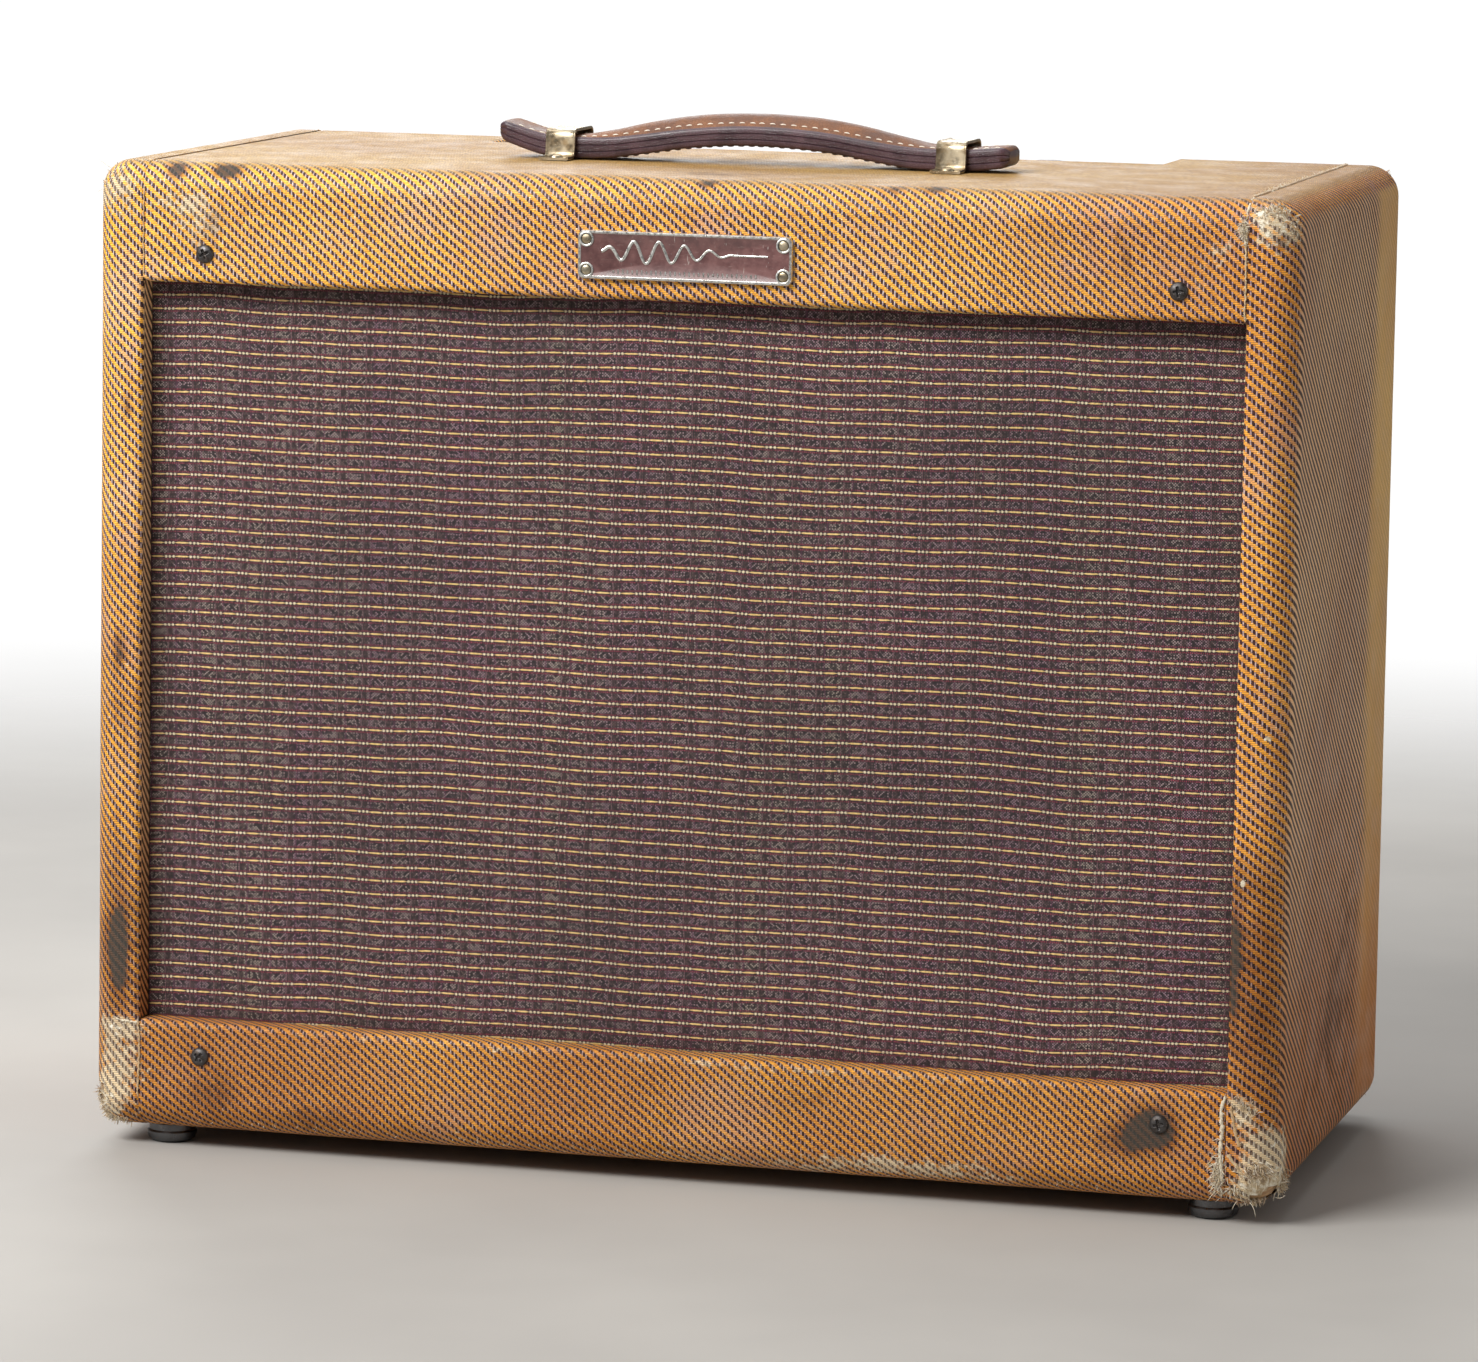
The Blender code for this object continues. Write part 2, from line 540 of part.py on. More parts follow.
def make_speaker():
    """Frame, magnet, cone with its voice coil, and the surround that carries the cone."""
    centre = (0, SPEAKER_Z)
    face = BAFFLE_BACK + FIT
    frame = [(141.2, face), (FRAME_R, face), (FRAME_R, face + 1.6), (142.6, face + 1.6), (142.6, face + 8.0),
             (62.0, face + 56.0), (22.0, face + 56.0), (22.0, face + 54.4), (61.0, face + 54.4),
             (141.2, face + 7.4)]
    basket = turned("speaker_frame", frame, "Y", centre, 48)
    windows = 8
    for i in range(windows):
        turn = 2 * math.pi * (i + 0.5) / windows
        shape = [(74, -15), (128, -32), (128, 32), (74, 15)]
        outline = [(a * math.cos(turn) - b * math.sin(turn), SPEAKER_Z + a * math.sin(turn) + b * math.cos(turn))
                   for a, b in shape]
        cut(basket, prism("window", outline, "Y", face + 9, face + 52))
    back = face + 56.0 + FIT
    magnet = [(0, back), (18.0, back), (18.0, back + 16), (21.0, back + 16), (21.0, back), (48.0, back),
              (48.0, back + 8), (38.0, back + 9), (38.0, back + 58), (33.0, back + 66), (0, back + 68)]
    magnet = turned("speaker_magnet", magnet, "Y", centre, 32)
    join(magnet, box("terminals", (-12, back + 20, SPEAKER_Z + 36), (12, back + 34, SPEAKER_Z + 44)))
    rim = face + 4.6
    cone = [(0, rim + 31), (14, rim + 33), (24, rim + 38), (128, rim), (128, rim + 0.8), (25, rim + 40.4),
            (19.8, rim + 44), (19.8, back + 12), (19.2, back + 12), (19.2, rim + 40), (13, rim + 34.2),
            (0, rim + 31.8)]
    turned("speaker_cone", cone, "Y", centre, 48)
    surround = [(128.4, rim), (130.5, rim - 2.2), (133, rim - 0.4), (135.5, rim - 2.6), (140.8, rim - 1.4),
                (140.8, rim - 0.6), (135.5, rim - 1.8), (133, rim + 0.4), (130.5, rim - 1.4), (128.4, rim + 0.8)]
    turned("speaker_surround", surround, "Y", centre, 48)


def make_lead():
    """The wire from the output transformer to the speaker's terminals, round in section."""
    y = BAFFLE_BACK + FIT + 56.0 + FIT + 27.0
    path = [(-57, 71.2, 308), (-57, 62, 306), (-54, 52, 299), (-47, 40, 289), (-37, 26, 279), (-25, 10, 271),
            (-14, -3, 266.5), (-6, y + 3, 263), (-3, y, 258.5), (-3, y, 252.8)]
    points = [Vector(p) for p in path]
    sides, radius = 8, 1.7
    verts, faces = [], []
    for i, point in enumerate(points):
        ahead = points[min(i + 1, len(points) - 1)] - points[max(i - 1, 0)]
        turn = ahead.to_track_quat("Z", "Y").to_matrix()
        for k in range(sides):
            angle = 2 * math.pi * k / sides
            verts.append(point + turn @ Vector((radius * math.cos(angle), radius * math.sin(angle), 0)))
    for i in range(len(points) - 1):
        for k in range(sides):
            j = (k + 1) % sides
            faces.append((i * sides + k, i * sides + j, (i + 1) * sides + j, (i + 1) * sides + k))
    faces += [tuple(range(sides)), tuple(range(len(verts) - 1, len(verts) - 1 - sides, -1))]
    new_object("speaker_lead", verts, faces)


def main():
    for obj in list(bpy.data.objects):
        bpy.data.objects.remove(obj)
    make_boards()
    make_covers()
    make_front()
    make_back()
    make_feet()
    make_handle()
    make_chassis()
    make_valves()
    make_controls()
    make_transformers()
    make_circuit_board()
    make_speaker()
    make_lead()


main()
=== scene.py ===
"""Looks of a worn tweed guitar amplifier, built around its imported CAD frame. Lengths are in mm until a mesh is made."""

import math
import random

import bmesh
import bpy
import numpy as np
from mathutils import Matrix, Vector, noise


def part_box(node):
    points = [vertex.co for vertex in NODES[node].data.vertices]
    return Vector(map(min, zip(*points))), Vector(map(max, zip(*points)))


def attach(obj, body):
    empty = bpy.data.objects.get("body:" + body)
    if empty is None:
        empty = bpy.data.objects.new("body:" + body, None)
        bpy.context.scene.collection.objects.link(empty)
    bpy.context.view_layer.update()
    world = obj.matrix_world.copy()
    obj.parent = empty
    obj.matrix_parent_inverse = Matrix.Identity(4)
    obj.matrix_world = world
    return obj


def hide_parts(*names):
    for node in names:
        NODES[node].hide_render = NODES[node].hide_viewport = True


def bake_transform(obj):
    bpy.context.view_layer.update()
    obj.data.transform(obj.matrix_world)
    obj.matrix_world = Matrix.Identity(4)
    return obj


MM = 0.001
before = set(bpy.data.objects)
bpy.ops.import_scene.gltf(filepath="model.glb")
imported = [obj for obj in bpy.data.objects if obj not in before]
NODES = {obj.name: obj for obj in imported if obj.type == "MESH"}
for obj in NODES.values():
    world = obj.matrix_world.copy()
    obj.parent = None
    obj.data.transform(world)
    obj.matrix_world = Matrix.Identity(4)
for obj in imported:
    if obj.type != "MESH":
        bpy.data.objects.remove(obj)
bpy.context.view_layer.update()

WIDE, FRONT, REAR, TOP, BASE = 254.0, -120.65, 120.65, 416.0, 8.0
ROUND = 13.0
# the middles of the rounded edges
CORE_X, CORE_Y, CORE_LOW, CORE_HIGH = 241.0, 107.65, 21.0, 403.0
OPEN_X, OPEN_LOW, OPEN_HIGH = 232.5, 54.9, 366.2
CLOTH_BACK = -108.95
INSIDE, FLOOR, CEILING = 234.0, 28.0, 396.0
NOTCH_LOW, NOTCH_HIGH, NOTCH_FRONT = -140.0, 157.0, 72.0


# ---------------------------------------------------------------- meshes


class Build:
    """Collects polygons, in millimetres, and makes one object of them."""

    def __init__(self):
        self.verts, self.faces, self.slots, self.uvs, self.tints = [], [], [], [], []

    def add(self, verts, faces, slot=0, uv=None, tint=(0.0, 0.0, 0.0)):
        first = len(self.verts)
        self.verts += [tuple(v) for v in verts]
        self.faces += [tuple(i + first for i in f) for f in faces]
        self.slots += [slot] * len(faces)
        self.uvs += list(uv) if uv is not None else [(v[0], v[2]) for v in verts]
        self.tints += list(tint) if len(tint) == len(verts) and len(verts) != 3 else [tint] * len(verts)

    def make(self, name, materials, smooth=True, angle=None):
        mesh = bpy.data.meshes.new(name)
        mesh.from_pydata([(x * MM, y * MM, z * MM) for x, y, z in self.verts], [], self.faces)
        layer = mesh.uv_layers.new(name="weave")
        corners = np.empty(len(mesh.loops), dtype=np.int32)
        mesh.loops.foreach_get("vertex_index", corners)
        layer.data.foreach_set("uv", np.array(self.uvs, dtype=np.float32)[corners].ravel())
        age = mesh.color_attributes.new("age", "FLOAT_COLOR", "POINT")
        tints = np.ones((len(self.verts), 4), dtype=np.float32)
        tints[:, :3] = np.array(self.tints, dtype=np.float32)
        age.data.foreach_set("color", tints.ravel())
        mesh.polygons.foreach_set("material_index", self.slots)
        for material in materials:
            mesh.materials.append(material)
        mesh.polygons.foreach_set("use_smooth", [smooth] * len(mesh.polygons))
        if angle:
            mesh.set_sharp_from_angle(angle=math.radians(angle))
        mesh.update()
        obj = bpy.data.objects.new(name, mesh)
        bpy.context.scene.collection.objects.link(obj)
        return obj


def grid_faces(rows, cols, keep=None, close=False):
    faces = []
    for r in range(rows - 1):
        for c in range(cols if close else cols - 1):
            d = (c + 1) % cols
            face = (r * cols + c, r * cols + d, (r + 1) * cols + d, (r + 1) * cols + c)
            if keep is None or keep(r, c):
                faces.append(face)
    return faces


def spaced(a, b, step):
    n = max(1, round(abs(b - a) / step))
    return [a + (b - a) * k / n for k in range(n + 1)]


def unit(a):
    a = np.asarray(a, float)
    return a / max(np.linalg.norm(a), 1e-9)


def sweep(build, path, section, slot=0, tint=(0.0, 0.0, 0.0), up=(0, 0, 1), caps=True, scale=None):
    """A closed section [(side, up), ...] carried along a path of points."""
    path = [np.asarray(p, float) for p in path]
    verts, n = [], len(section)
    for k, p in enumerate(path):
        t = unit(path[min(k + 1, len(path) - 1)] - path[max(k - 1, 0)])
        side = unit(np.cross(t, up))
        lift = np.cross(side, t)
        s = scale[k] if scale is not None else 1.0
        verts += [tuple(p + side * a * s + lift * b * s) for a, b in section]
    faces = grid_faces(len(path), n, close=True)
    if caps:
        last = (len(path) - 1) * n
        faces += [tuple(range(n - 1, -1, -1)), tuple(range(last, last + n))]
    build.add(verts, faces, slot, tint=tint)


def ring_section(radius, sides):
    return [
        (radius * math.cos(2 * math.pi * k / sides), radius * math.sin(2 * math.pi * k / sides)) for k in range(sides)
    ]


def lathe(build, profile, centre, axis="Z", sides=48, slot=0, flute=None, tint=(0.0, 0.0, 0.0)):
    """Turns a profile [(radius, height), ...] about an axis. flute(angle, radius, height) may change the radius."""
    verts = []
    for radius, height in profile:
        for k in range(sides):
            a = 2 * math.pi * k / sides
            r = flute(a, radius, height) if flute else radius
            x, y, z = r * math.cos(a), r * math.sin(a), height
            if axis == "Y":
                x, y, z = -x, z, y
            elif axis == "-Y":
                x, y, z = x, -z, y
            elif axis == "-Z":
                x, y, z = x, -y, -z
            verts.append((centre[0] + x, centre[1] + y, centre[2] + z))
    faces = grid_faces(len(profile), sides, close=True)
    if profile[0][0] > 1e-6:
        faces.append(tuple(range(sides - 1, -1, -1)))
    if profile[-1][0] > 1e-6:
        last = (len(profile) - 1) * sides
        faces.append(tuple(range(last, last + sides)))
    build.add(verts, faces, slot, tint=tint)


def weld(obj, distance=1e-5):
    """Merges coincident points and turns the faces outwards."""
    bm = bmesh.new()
    bm.from_mesh(obj.data)
    bmesh.ops.remove_doubles(bm, verts=bm.verts, dist=distance)
    bmesh.ops.dissolve_degenerate(bm, edges=bm.edges, dist=1e-6)
    bmesh.ops.recalc_face_normals(bm, faces=bm.faces)
    bm.to_mesh(obj.data)
    bm.free()
    return obj


def arc(centre, radius, start, end, steps):
    return [
        (centre[0] + radius * math.cos(math.radians(start + (end - start) * k / steps)),
         centre[1] + radius * math.sin(math.radians(start + (end - start) * k / steps)))
        for k in range(steps + 1)
    ]


def wobble(p, scale, amount, seed=0.0):
    return amount * noise.noise(Vector((p[0] / scale + seed, p[1] / scale, p[2] / scale)))


# ---------------------------------------------------------------- materials


class Graph:
    """One Principled material and the nodes that feed it."""

    def __init__(self, name, colour=(0.5, 0.5, 0.5), roughness=0.5, metallic=0.0, **values):
        self.material = bpy.data.materials.new(name)
        self.material.use_nodes = True
        self.tree = self.material.node_tree
        self.shader = self.tree.nodes["Principled BSDF"]
        self.put("Base Color", colour)
        self.put("Roughness", roughness)
        self.put("Metallic", metallic)
        for key, value in values.items():
            self.put(key.replace("_", " ").title().replace("Ior", "IOR"), value)

    def put(self, socket, value):
        self.plug(self.shader.inputs[socket], value)

    def plug(self, target, value):
        if isinstance(value, bpy.types.NodeSocket):
            self.tree.links.new(value, target)
        elif target.type == "RGBA":
            target.default_value = (*value, 1.0)
        else:
            target.default_value = value

    def node(self, kind, **settings):
        node = self.tree.nodes.new(kind)
        for key, value in settings.items():
            setattr(node, key, value)
        return node

    def math(self, operation, a, b=None, c=None, clamp=False):
        node = self.node("ShaderNodeMath", operation=operation, use_clamp=clamp)
        for target, value in zip(node.inputs, (a, b, c)):
            if value is not None:
                self.plug(target, value)
        return node.outputs[0]

    def mul(self, a, b):
        return self.math("MULTIPLY", a, b)

    def sum(self, a, b):
        return self.math("ADD", a, b)

    def times(self, a, b):
        return self.mix(1.0, a, b, "MULTIPLY")

    def centred(self, value, amount):
        return self.mul(self.sum(value, -0.5), amount)

    def gap(self, value, centre):
        return self.math("ABSOLUTE", self.sum(value, -centre))

    def rest(self, value):
        return self.math("SUBTRACT", 1.0, value)

    def fall(self, value, low, high):
        return self.step(value, low, high, 1.0, 0.0)

    def step(self, value, low, high, to_low=0.0, to_high=1.0):
        node = self.node("ShaderNodeMapRange", interpolation_type="SMOOTHSTEP")
        for target, x in zip(node.inputs, (value, low, high, to_low, to_high)):
            self.plug(target, x)
        return node.outputs[0]

    def mix(self, factor, a, b, blend="MIX"):
        node = self.node("ShaderNodeMix", data_type="RGBA", blend_type=blend)
        self.plug(node.inputs[0], factor)
        self.plug(node.inputs[6], a)
        self.plug(node.inputs[7], b)
        return node.outputs[2]

    def place(self):
        return self.node("ShaderNodeTexCoord").outputs["Object"]

    def weave(self):
        return self.node("ShaderNodeUVMap", uv_map="weave").outputs["UV"]

    def facing(self):
        return self.parts(self.node("ShaderNodeNewGeometry").outputs["Normal"])

    def age(self):
        split = self.node("ShaderNodeSeparateColor")
        self.tree.links.new(self.node("ShaderNodeVertexColor", layer_name="age").outputs["Color"], split.inputs[0])
        return split.outputs

    def parts(self, vector):
        split = self.node("ShaderNodeSeparateXYZ")
        self.plug(split.inputs[0], vector)
        return split.outputs

    def vector(self, x, y, z):
        join = self.node("ShaderNodeCombineXYZ")
        for target, value in zip(join.inputs, (x, y, z)):
            self.plug(target, value)
        return join.outputs[0]

    def stretch(self, vector, scale):
        node = self.node("ShaderNodeVectorMath", operation="MULTIPLY")
        self.plug(node.inputs[0], vector)
        node.inputs[1].default_value = scale
        return node.outputs[0]

    def noise(self, vector, scale, detail=3.0, rough=0.55, colour=False, distortion=0.0):
        node = self.node("ShaderNodeTexNoise")
        self.plug(node.inputs["Vector"], vector)
        node.inputs["Scale"].default_value = scale
        node.inputs["Detail"].default_value = detail
        node.inputs["Roughness"].default_value = rough
        node.inputs["Distortion"].default_value = distortion
        return node.outputs[1 if colour else 0]

    def speckle(self, vector):
        node = self.node("ShaderNodeTexWhiteNoise", noise_dimensions="3D")
        self.plug(node.inputs["Vector"], vector)
        return node.outputs[0]

    def ramp(self, value, *stops):
        node = self.node("ShaderNodeValToRGB")
        self.plug(node.inputs[0], value)
        items = node.color_ramp.elements
        while len(items) < len(stops):
            items.new(0.5)
        for item, (at, colour) in zip(items, stops):
            item.position = at
            item.color = (*colour, 1.0)
        return node.outputs[0]

    def bump(self, height, distance, strength=1.0):
        node = self.node("ShaderNodeBump")
        node.inputs["Strength"].default_value = strength
        node.inputs["Distance"].default_value = distance
        self.plug(node.inputs["Height"], height)
        self.put("Normal", node.outputs[0])


COLUMN, COURSE = 0.75, 0.675
# threads in one wale
THREADS = 6.0


def tweed(name, soil=1.0):
    """Woven cotton tweed under old lacquer: a gold weft over a warp of dark and pale threads, in diagonal wales."""
    g = Graph(
        name, roughness=0.58, sheen_weight=0.03, sheen_roughness=0.4, coat_weight=0.05, coat_roughness=0.3,
        specular_ior_level=0.3
    )
    g.put("Sheen Tint", (0.88, 0.82, 0.66))
    place = g.place()
    u, v, _ = g.parts(g.weave())
    slow = g.parts(g.noise(place, 11.0, 2.0, colour=True))
    fine = g.parts(g.noise(place, 650.0, 1.0, colour=True))
    u = g.sum(g.sum(u, g.centred(slow[0], 5.0)), g.centred(fine[0], 0.4))
    v = g.sum(g.sum(v, g.centred(slow[1], 5.0)), g.centred(fine[1], 0.4))
    cu, cv = g.mul(u, 1 / COLUMN), g.mul(v, 1 / COURSE)
    i, j = g.math("FLOOR", cu), g.math("FLOOR", cv)
    across, along = g.math("FRACT", cu), g.math("FRACT", cv)
    wale = g.math("FLOORED_MODULO", g.sum(i, j), 6.0)
    weft_up = g.math("LESS_THAN", wale, 2.5)
    odd = g.math("FLOORED_MODULO", i, 2.0)
    weft_round = g.math("SINE", g.mul(along, math.pi))
    warp_round = g.math("SINE", g.mul(across, math.pi))
    thread = g.speckle(g.vector(i, j, 0.0))
    patch = g.noise(place, 24.0, 4.0, 0.6)
    gold = g.mix(g.sum(g.mul(thread, 0.6), g.mul(patch, 0.5)), (0.52, 0.20, 0.018), (1.0, 0.56, 0.07))
    pale = g.mix(thread, (0.42, 0.30, 0.33), (1.0, 0.84, 0.82))
    dark = g.mix(thread, (0.050, 0.018, 0.026), (0.14, 0.055, 0.062))
    narrow = g.mul(odd, g.step(warp_round, 0.15, 0.5))
    warp = g.mix(narrow, dark, pale)
    rosy = g.step(g.sum(patch, g.centred(g.noise(place, 260.0, 3.0), 0.5)), 0.5, 0.72)
    gold = g.mix(g.mul(rosy, 0.62), gold, (0.66, 0.38, 0.22))
    # small cream flecks on the gold: painted highlights, glints on the weft
    flecks = g.step(g.noise(place, 480.0, 2.0, 0.6), 0.67, 0.76)
    gold = g.mix(g.mul(flecks, 0.8), gold, (1.0, 0.86, 0.55))
    weave = g.mix(weft_up, warp, gold)
    relief = g.math(
        "ADD",
        g.mul(weft_up, g.sum(0.24, g.mul(weft_round, 0.66))),
        g.mul(g.rest(weft_up), g.mul(warp_round, 0.45)),
    )
    # painted shade in the gaps between the threads and a painted highlight on their crowns, multiplied into the weave
    shade = g.step(relief, 0.1, 0.8, 0.26, 1.42)
    weave = g.times(weave, g.vector(shade, shade, shade))
    spot_x, spot_y, height = g.parts(place)
    # darker and warmer towards the bottom and a little brighter above: painted shade of the light falling off towards
    # the floor
    low_shade = g.step(g.sum(height, g.centred(g.noise(place, 14.0, 3.0), 0.22)), 0.0, 0.31)
    weave = g.times(weave, g.mix(low_shade, (0.74, 0.62, 0.54), (1.06, 1.06, 1.10)))
    # darker towards the right end: painted shade on the side turned away from the key light
    right = g.step(spot_x, 0.12, 0.245)
    weave = g.times(weave, g.mix(right, (1.0, 1.0, 1.0), (0.92, 0.82, 0.80)))
    nx, _, nz = g.facing()
    rib = g.math("SINE", g.mul(g.sum(cu, cv), 2 * math.pi / THREADS))
    rib = g.mix(g.step(rib, -0.35, 0.5), (0.055, 0.024, 0.012), (1.0, 0.68, 0.42))
    ends = g.step(g.math("ABSOLUTE", nx), 0.86, 0.985)
    weave = g.mix(g.mul(ends, 0.78), weave, rib)
    behind = g.step(g.sum(spot_y, g.centred(g.noise(place, 12.0, 2.0), 0.03)), 0.05, 0.075)
    weave = g.mix(g.mul(g.mul(ends, behind), 0.8), weave, (0.86, 0.54, 0.18))
    low_end = g.fall(height, 0.03, 0.21)
    weave = g.times(weave, g.mix(g.mul(ends, low_end), (1.0, 1.0, 1.0), (0.72, 0.44, 0.20)))
    # the top face gets its own duller khaki grain and a darker, less blue tone: painted light, the look of the top
    # under the top light at a grazing view fixed into its colour
    upward = g.mul(g.step(nz, 0.80, 0.985), g.step(height, 0.395, 0.402))
    grain = g.noise(g.stretch(place, (1.0, 0.6, 1.0)), 700.0, 3.0, 0.7)
    painted_top_tone = g.mix(g.step(grain, 0.32, 0.68), (0.22, 0.14, 0.05), (0.66, 0.48, 0.22))
    weave = g.mix(g.mul(upward, 0.55), weave, painted_top_tone)
    weave = g.times(weave, g.mix(upward, (1.0, 1.0, 1.0), (0.76, 0.74, 0.58)))
    dirt_and_shade, wear_and_highlight, bare = g.age()
    broad = g.noise(place, 55.0, 4.0, 0.6)
    close = g.noise(place, 420.0, 3.0, 0.6)
    wide = g.noise(place, 7.0, 3.0, 0.6)
    tone = g.step(wide, 0.3, 0.7)
    weave = g.times(weave, g.mix(tone, (0.84, 0.74, 0.74), (1.06, 1.05, 1.0)))
    worn_and_highlight_tone = g.mix(weft_up, g.mix(odd, (0.26, 0.18, 0.12), (0.72, 0.60, 0.46)), (0.74, 0.58, 0.36))
    worn_and_highlight_tone = g.mix(0.7, worn_and_highlight_tone, g.vector(shade, shade, shade), "MULTIPLY")
    # worn places, and a painted highlight along the bottom rail's top edge, take the pale faded weave
    wear_and_highlight = g.step(g.sum(wear_and_highlight, g.sum(g.centred(close, 1.5), g.centred(broad, 1.1))), 0.38, 0.78)
    weave = g.mix(wear_and_highlight, weave, worn_and_highlight_tone)
    # stains, and painted shade along the top rail's lower edge, darken the weave
    dirt_and_shade = g.step(g.sum(dirt_and_shade, g.centred(broad, 0.9)), 0.15, 0.95)
    spots = g.step(g.noise(place, 140.0, 3.0, 0.7), 0.66, 0.8)
    dirt_and_shade = g.math("MAXIMUM", dirt_and_shade, g.mul(spots, 0.55 * soil))
    weave = g.mix(dirt_and_shade, weave, g.times(weave, (0.30, 0.21, 0.19)))
    weave = g.mix(g.step(dirt_and_shade, 0.7, 1.0, 0.0, 0.75), weave, (0.055, 0.052, 0.042))
    fuzz = g.ramp(close, (0.3, (0.30, 0.18, 0.09)), (0.48, (0.58, 0.46, 0.29)), (0.66, (0.90, 0.84, 0.70)))
    bare = g.step(g.sum(bare, g.sum(g.centred(close, 1.6), g.centred(broad, 1.0))), 0.5, 0.68)
    g.put("Base Color", g.mix(bare, weave, fuzz))
    g.put("Roughness", g.step(broad, 0.3, 0.7, 0.42, 0.66))
    g.bump(g.sum(relief, g.mul(close, 0.5)), 0.0003, 0.6)
    return g.material


# the grille cloth in mm: between rows, along one repeat, and between knots
ROW_GAP, REPEAT, KNOT_GAP = 5.75, 10.8, 1.67


def grille(name):
    """Grey-purple grille cloth with gold rows that float and knot, and dashed maroon rows beside them."""
    g = Graph(name, roughness=0.72, sheen_weight=0.15, sheen_roughness=0.5)
    place = g.place()
    x, _, z = g.parts(g.stretch(place, (1000.0, 1000.0, 1000.0)))
    sway = g.noise(g.vector(g.mul(x, 0.0105), 0.0, g.mul(z, 0.004)), 1.0, 2.0)
    lean = g.noise(g.vector(g.mul(x, 0.006), 4.0, g.mul(z, 0.02)), 1.0, 2.0)
    z = g.sum(z, g.centred(sway, 6.0))
    x = g.sum(x, g.centred(lean, 5.0))
    jitter = g.parts(g.noise(place, 900.0, 1.0, colour=True))
    row = g.math("FRACT", g.mul(z, 1 / ROW_GAP))
    off = g.mul(g.gap(row, 0.5), ROW_GAP)
    off = g.sum(off, g.centred(jitter[0], 0.35))
    group = g.mul(g.math("FRACT", g.mul(x, 1 / REPEAT)), REPEAT)
    knot_zone = g.mul(g.step(group, 0.0, 0.2), g.fall(group, 4.8, 5.01))
    to_knot = g.gap(g.math("FRACT", g.mul(group, 1 / KNOT_GAP)), 0.5)
    from_knot = g.math("SQRT", g.sum(g.mul(g.mul(to_knot, KNOT_GAP), g.mul(to_knot, KNOT_GAP)), g.mul(off, off)))
    taper = g.step(g.gap(group, 7.9), 1.6, 2.9, 0.0, 0.22)
    float_line = g.fall(g.sum(off, taper), 0.25, 0.46)
    knot_line = g.math("MAXIMUM", g.fall(from_knot, 0.44, 0.66), g.mul(g.fall(off, 0.14, 0.3), 0.35))
    line = g.sum(g.mul(float_line, g.rest(knot_zone)), g.mul(knot_line, knot_zone))
    ci, cj = g.math("FLOOR", g.mul(x, 1 / 0.60)), g.math("FLOOR", g.mul(z, 1 / 0.56))
    grain = g.speckle(g.vector(ci, 0.0, cj))
    check = g.math("FLOORED_MODULO", g.sum(ci, cj), 2.0)
    salt = g.step(g.sum(g.mul(check, 0.55), g.mul(grain, 0.6)), 0.35, 1.0)
    bands = g.noise(g.vector(g.mul(x, 0.05), 0.0, g.mul(z, 0.0025)), 1.0, 4.0, 0.65)
    ground = g.ramp(
        salt, (0.0, (0.010, 0.006, 0.008)), (0.4, (0.026, 0.017, 0.021)), (0.75, (0.125, 0.10, 0.108)),
        (1.0, (0.46, 0.42, 0.43))
    )
    ground = g.times(ground, g.mix(g.step(bands, 0.3, 0.7), (0.92, 0.66, 0.84), (1.12, 1.10, 0.92)))
    core = g.fall(g.gap(group, 2.7), 0.9, 1.9)
    ground = g.mix(g.mul(core, 0.78), ground, g.mix(grain, (0.014, 0.007, 0.007), (0.075, 0.036, 0.036)))
    cord = g.fall(g.gap(group, KNOT_GAP), 0.10, 0.34)
    ground = g.mix(g.mul(cord, g.sum(0.15, g.mul(check, 0.55))), ground, (0.42, 0.26, 0.30))
    sides = g.fall(g.gap(g.gap(group, 2.5), 2.9), 0.15, 0.45)
    ground = g.mix(g.mul(sides, g.sum(0.25, g.mul(check, 0.45))), ground, (0.17, 0.045, 0.12))
    # a dark band beside each gold row: painted shadow of the raised float
    near = g.fall(off, 1.25, 1.75)
    ground = g.mix(g.mul(near, 0.82), ground, g.mix(grain, (0.012, 0.004, 0.006), (0.055, 0.012, 0.022)))
    red_row = g.fall(g.gap(off, 1.08), 0.16, 0.42)
    dots = g.mul(g.step(g.math("SINE", g.sum(g.mul(x, 2 * math.pi / 0.86), g.mul(grain, 1.0))), -0.1, 0.6), red_row)
    ground = g.mix(g.mul(dots, 0.9), ground, g.mix(grain, (0.20, 0.018, 0.045), (0.66, 0.075, 0.15)))
    gold = g.mix(
        knot_zone, g.mix(grain, (0.68, 0.45, 0.15), (1.0, 0.74, 0.32)),
        g.mix(grain, (0.50, 0.42, 0.26), (0.94, 0.84, 0.60))
    )
    dirt_and_shade, wear_and_highlight, bare = g.age()
    wide = g.step(g.noise(place, 9.0, 4.0, 0.6), 0.3, 0.7)
    ground = g.times(ground, g.mix(wide, (0.52, 0.49, 0.48), (0.76, 0.70, 0.71)))
    gold = g.times(gold, g.mix(wide, (0.90, 0.90, 0.86), (1.0, 1.0, 1.0)))
    cloth = g.mix(line, ground, gold)
    # stains, and painted shade near the edges of the opening, darken the cloth
    cloth = g.mix(g.mul(dirt_and_shade, 0.6), cloth, g.times(cloth, (0.4, 0.36, 0.34)))
    marks = g.step(g.sum(bare, g.centred(g.noise(place, 500.0, 3.0, 0.7), 1.2)), 0.45, 0.7)
    cloth = g.mix(g.mul(marks, 0.75), cloth, (0.62, 0.50, 0.38))
    g.put("Base Color", cloth)
    weave_height = g.sum(g.mul(line, 0.9), g.mul(grain, 0.25))
    g.bump(weave_height, 0.00035, 0.8)
    return g.material


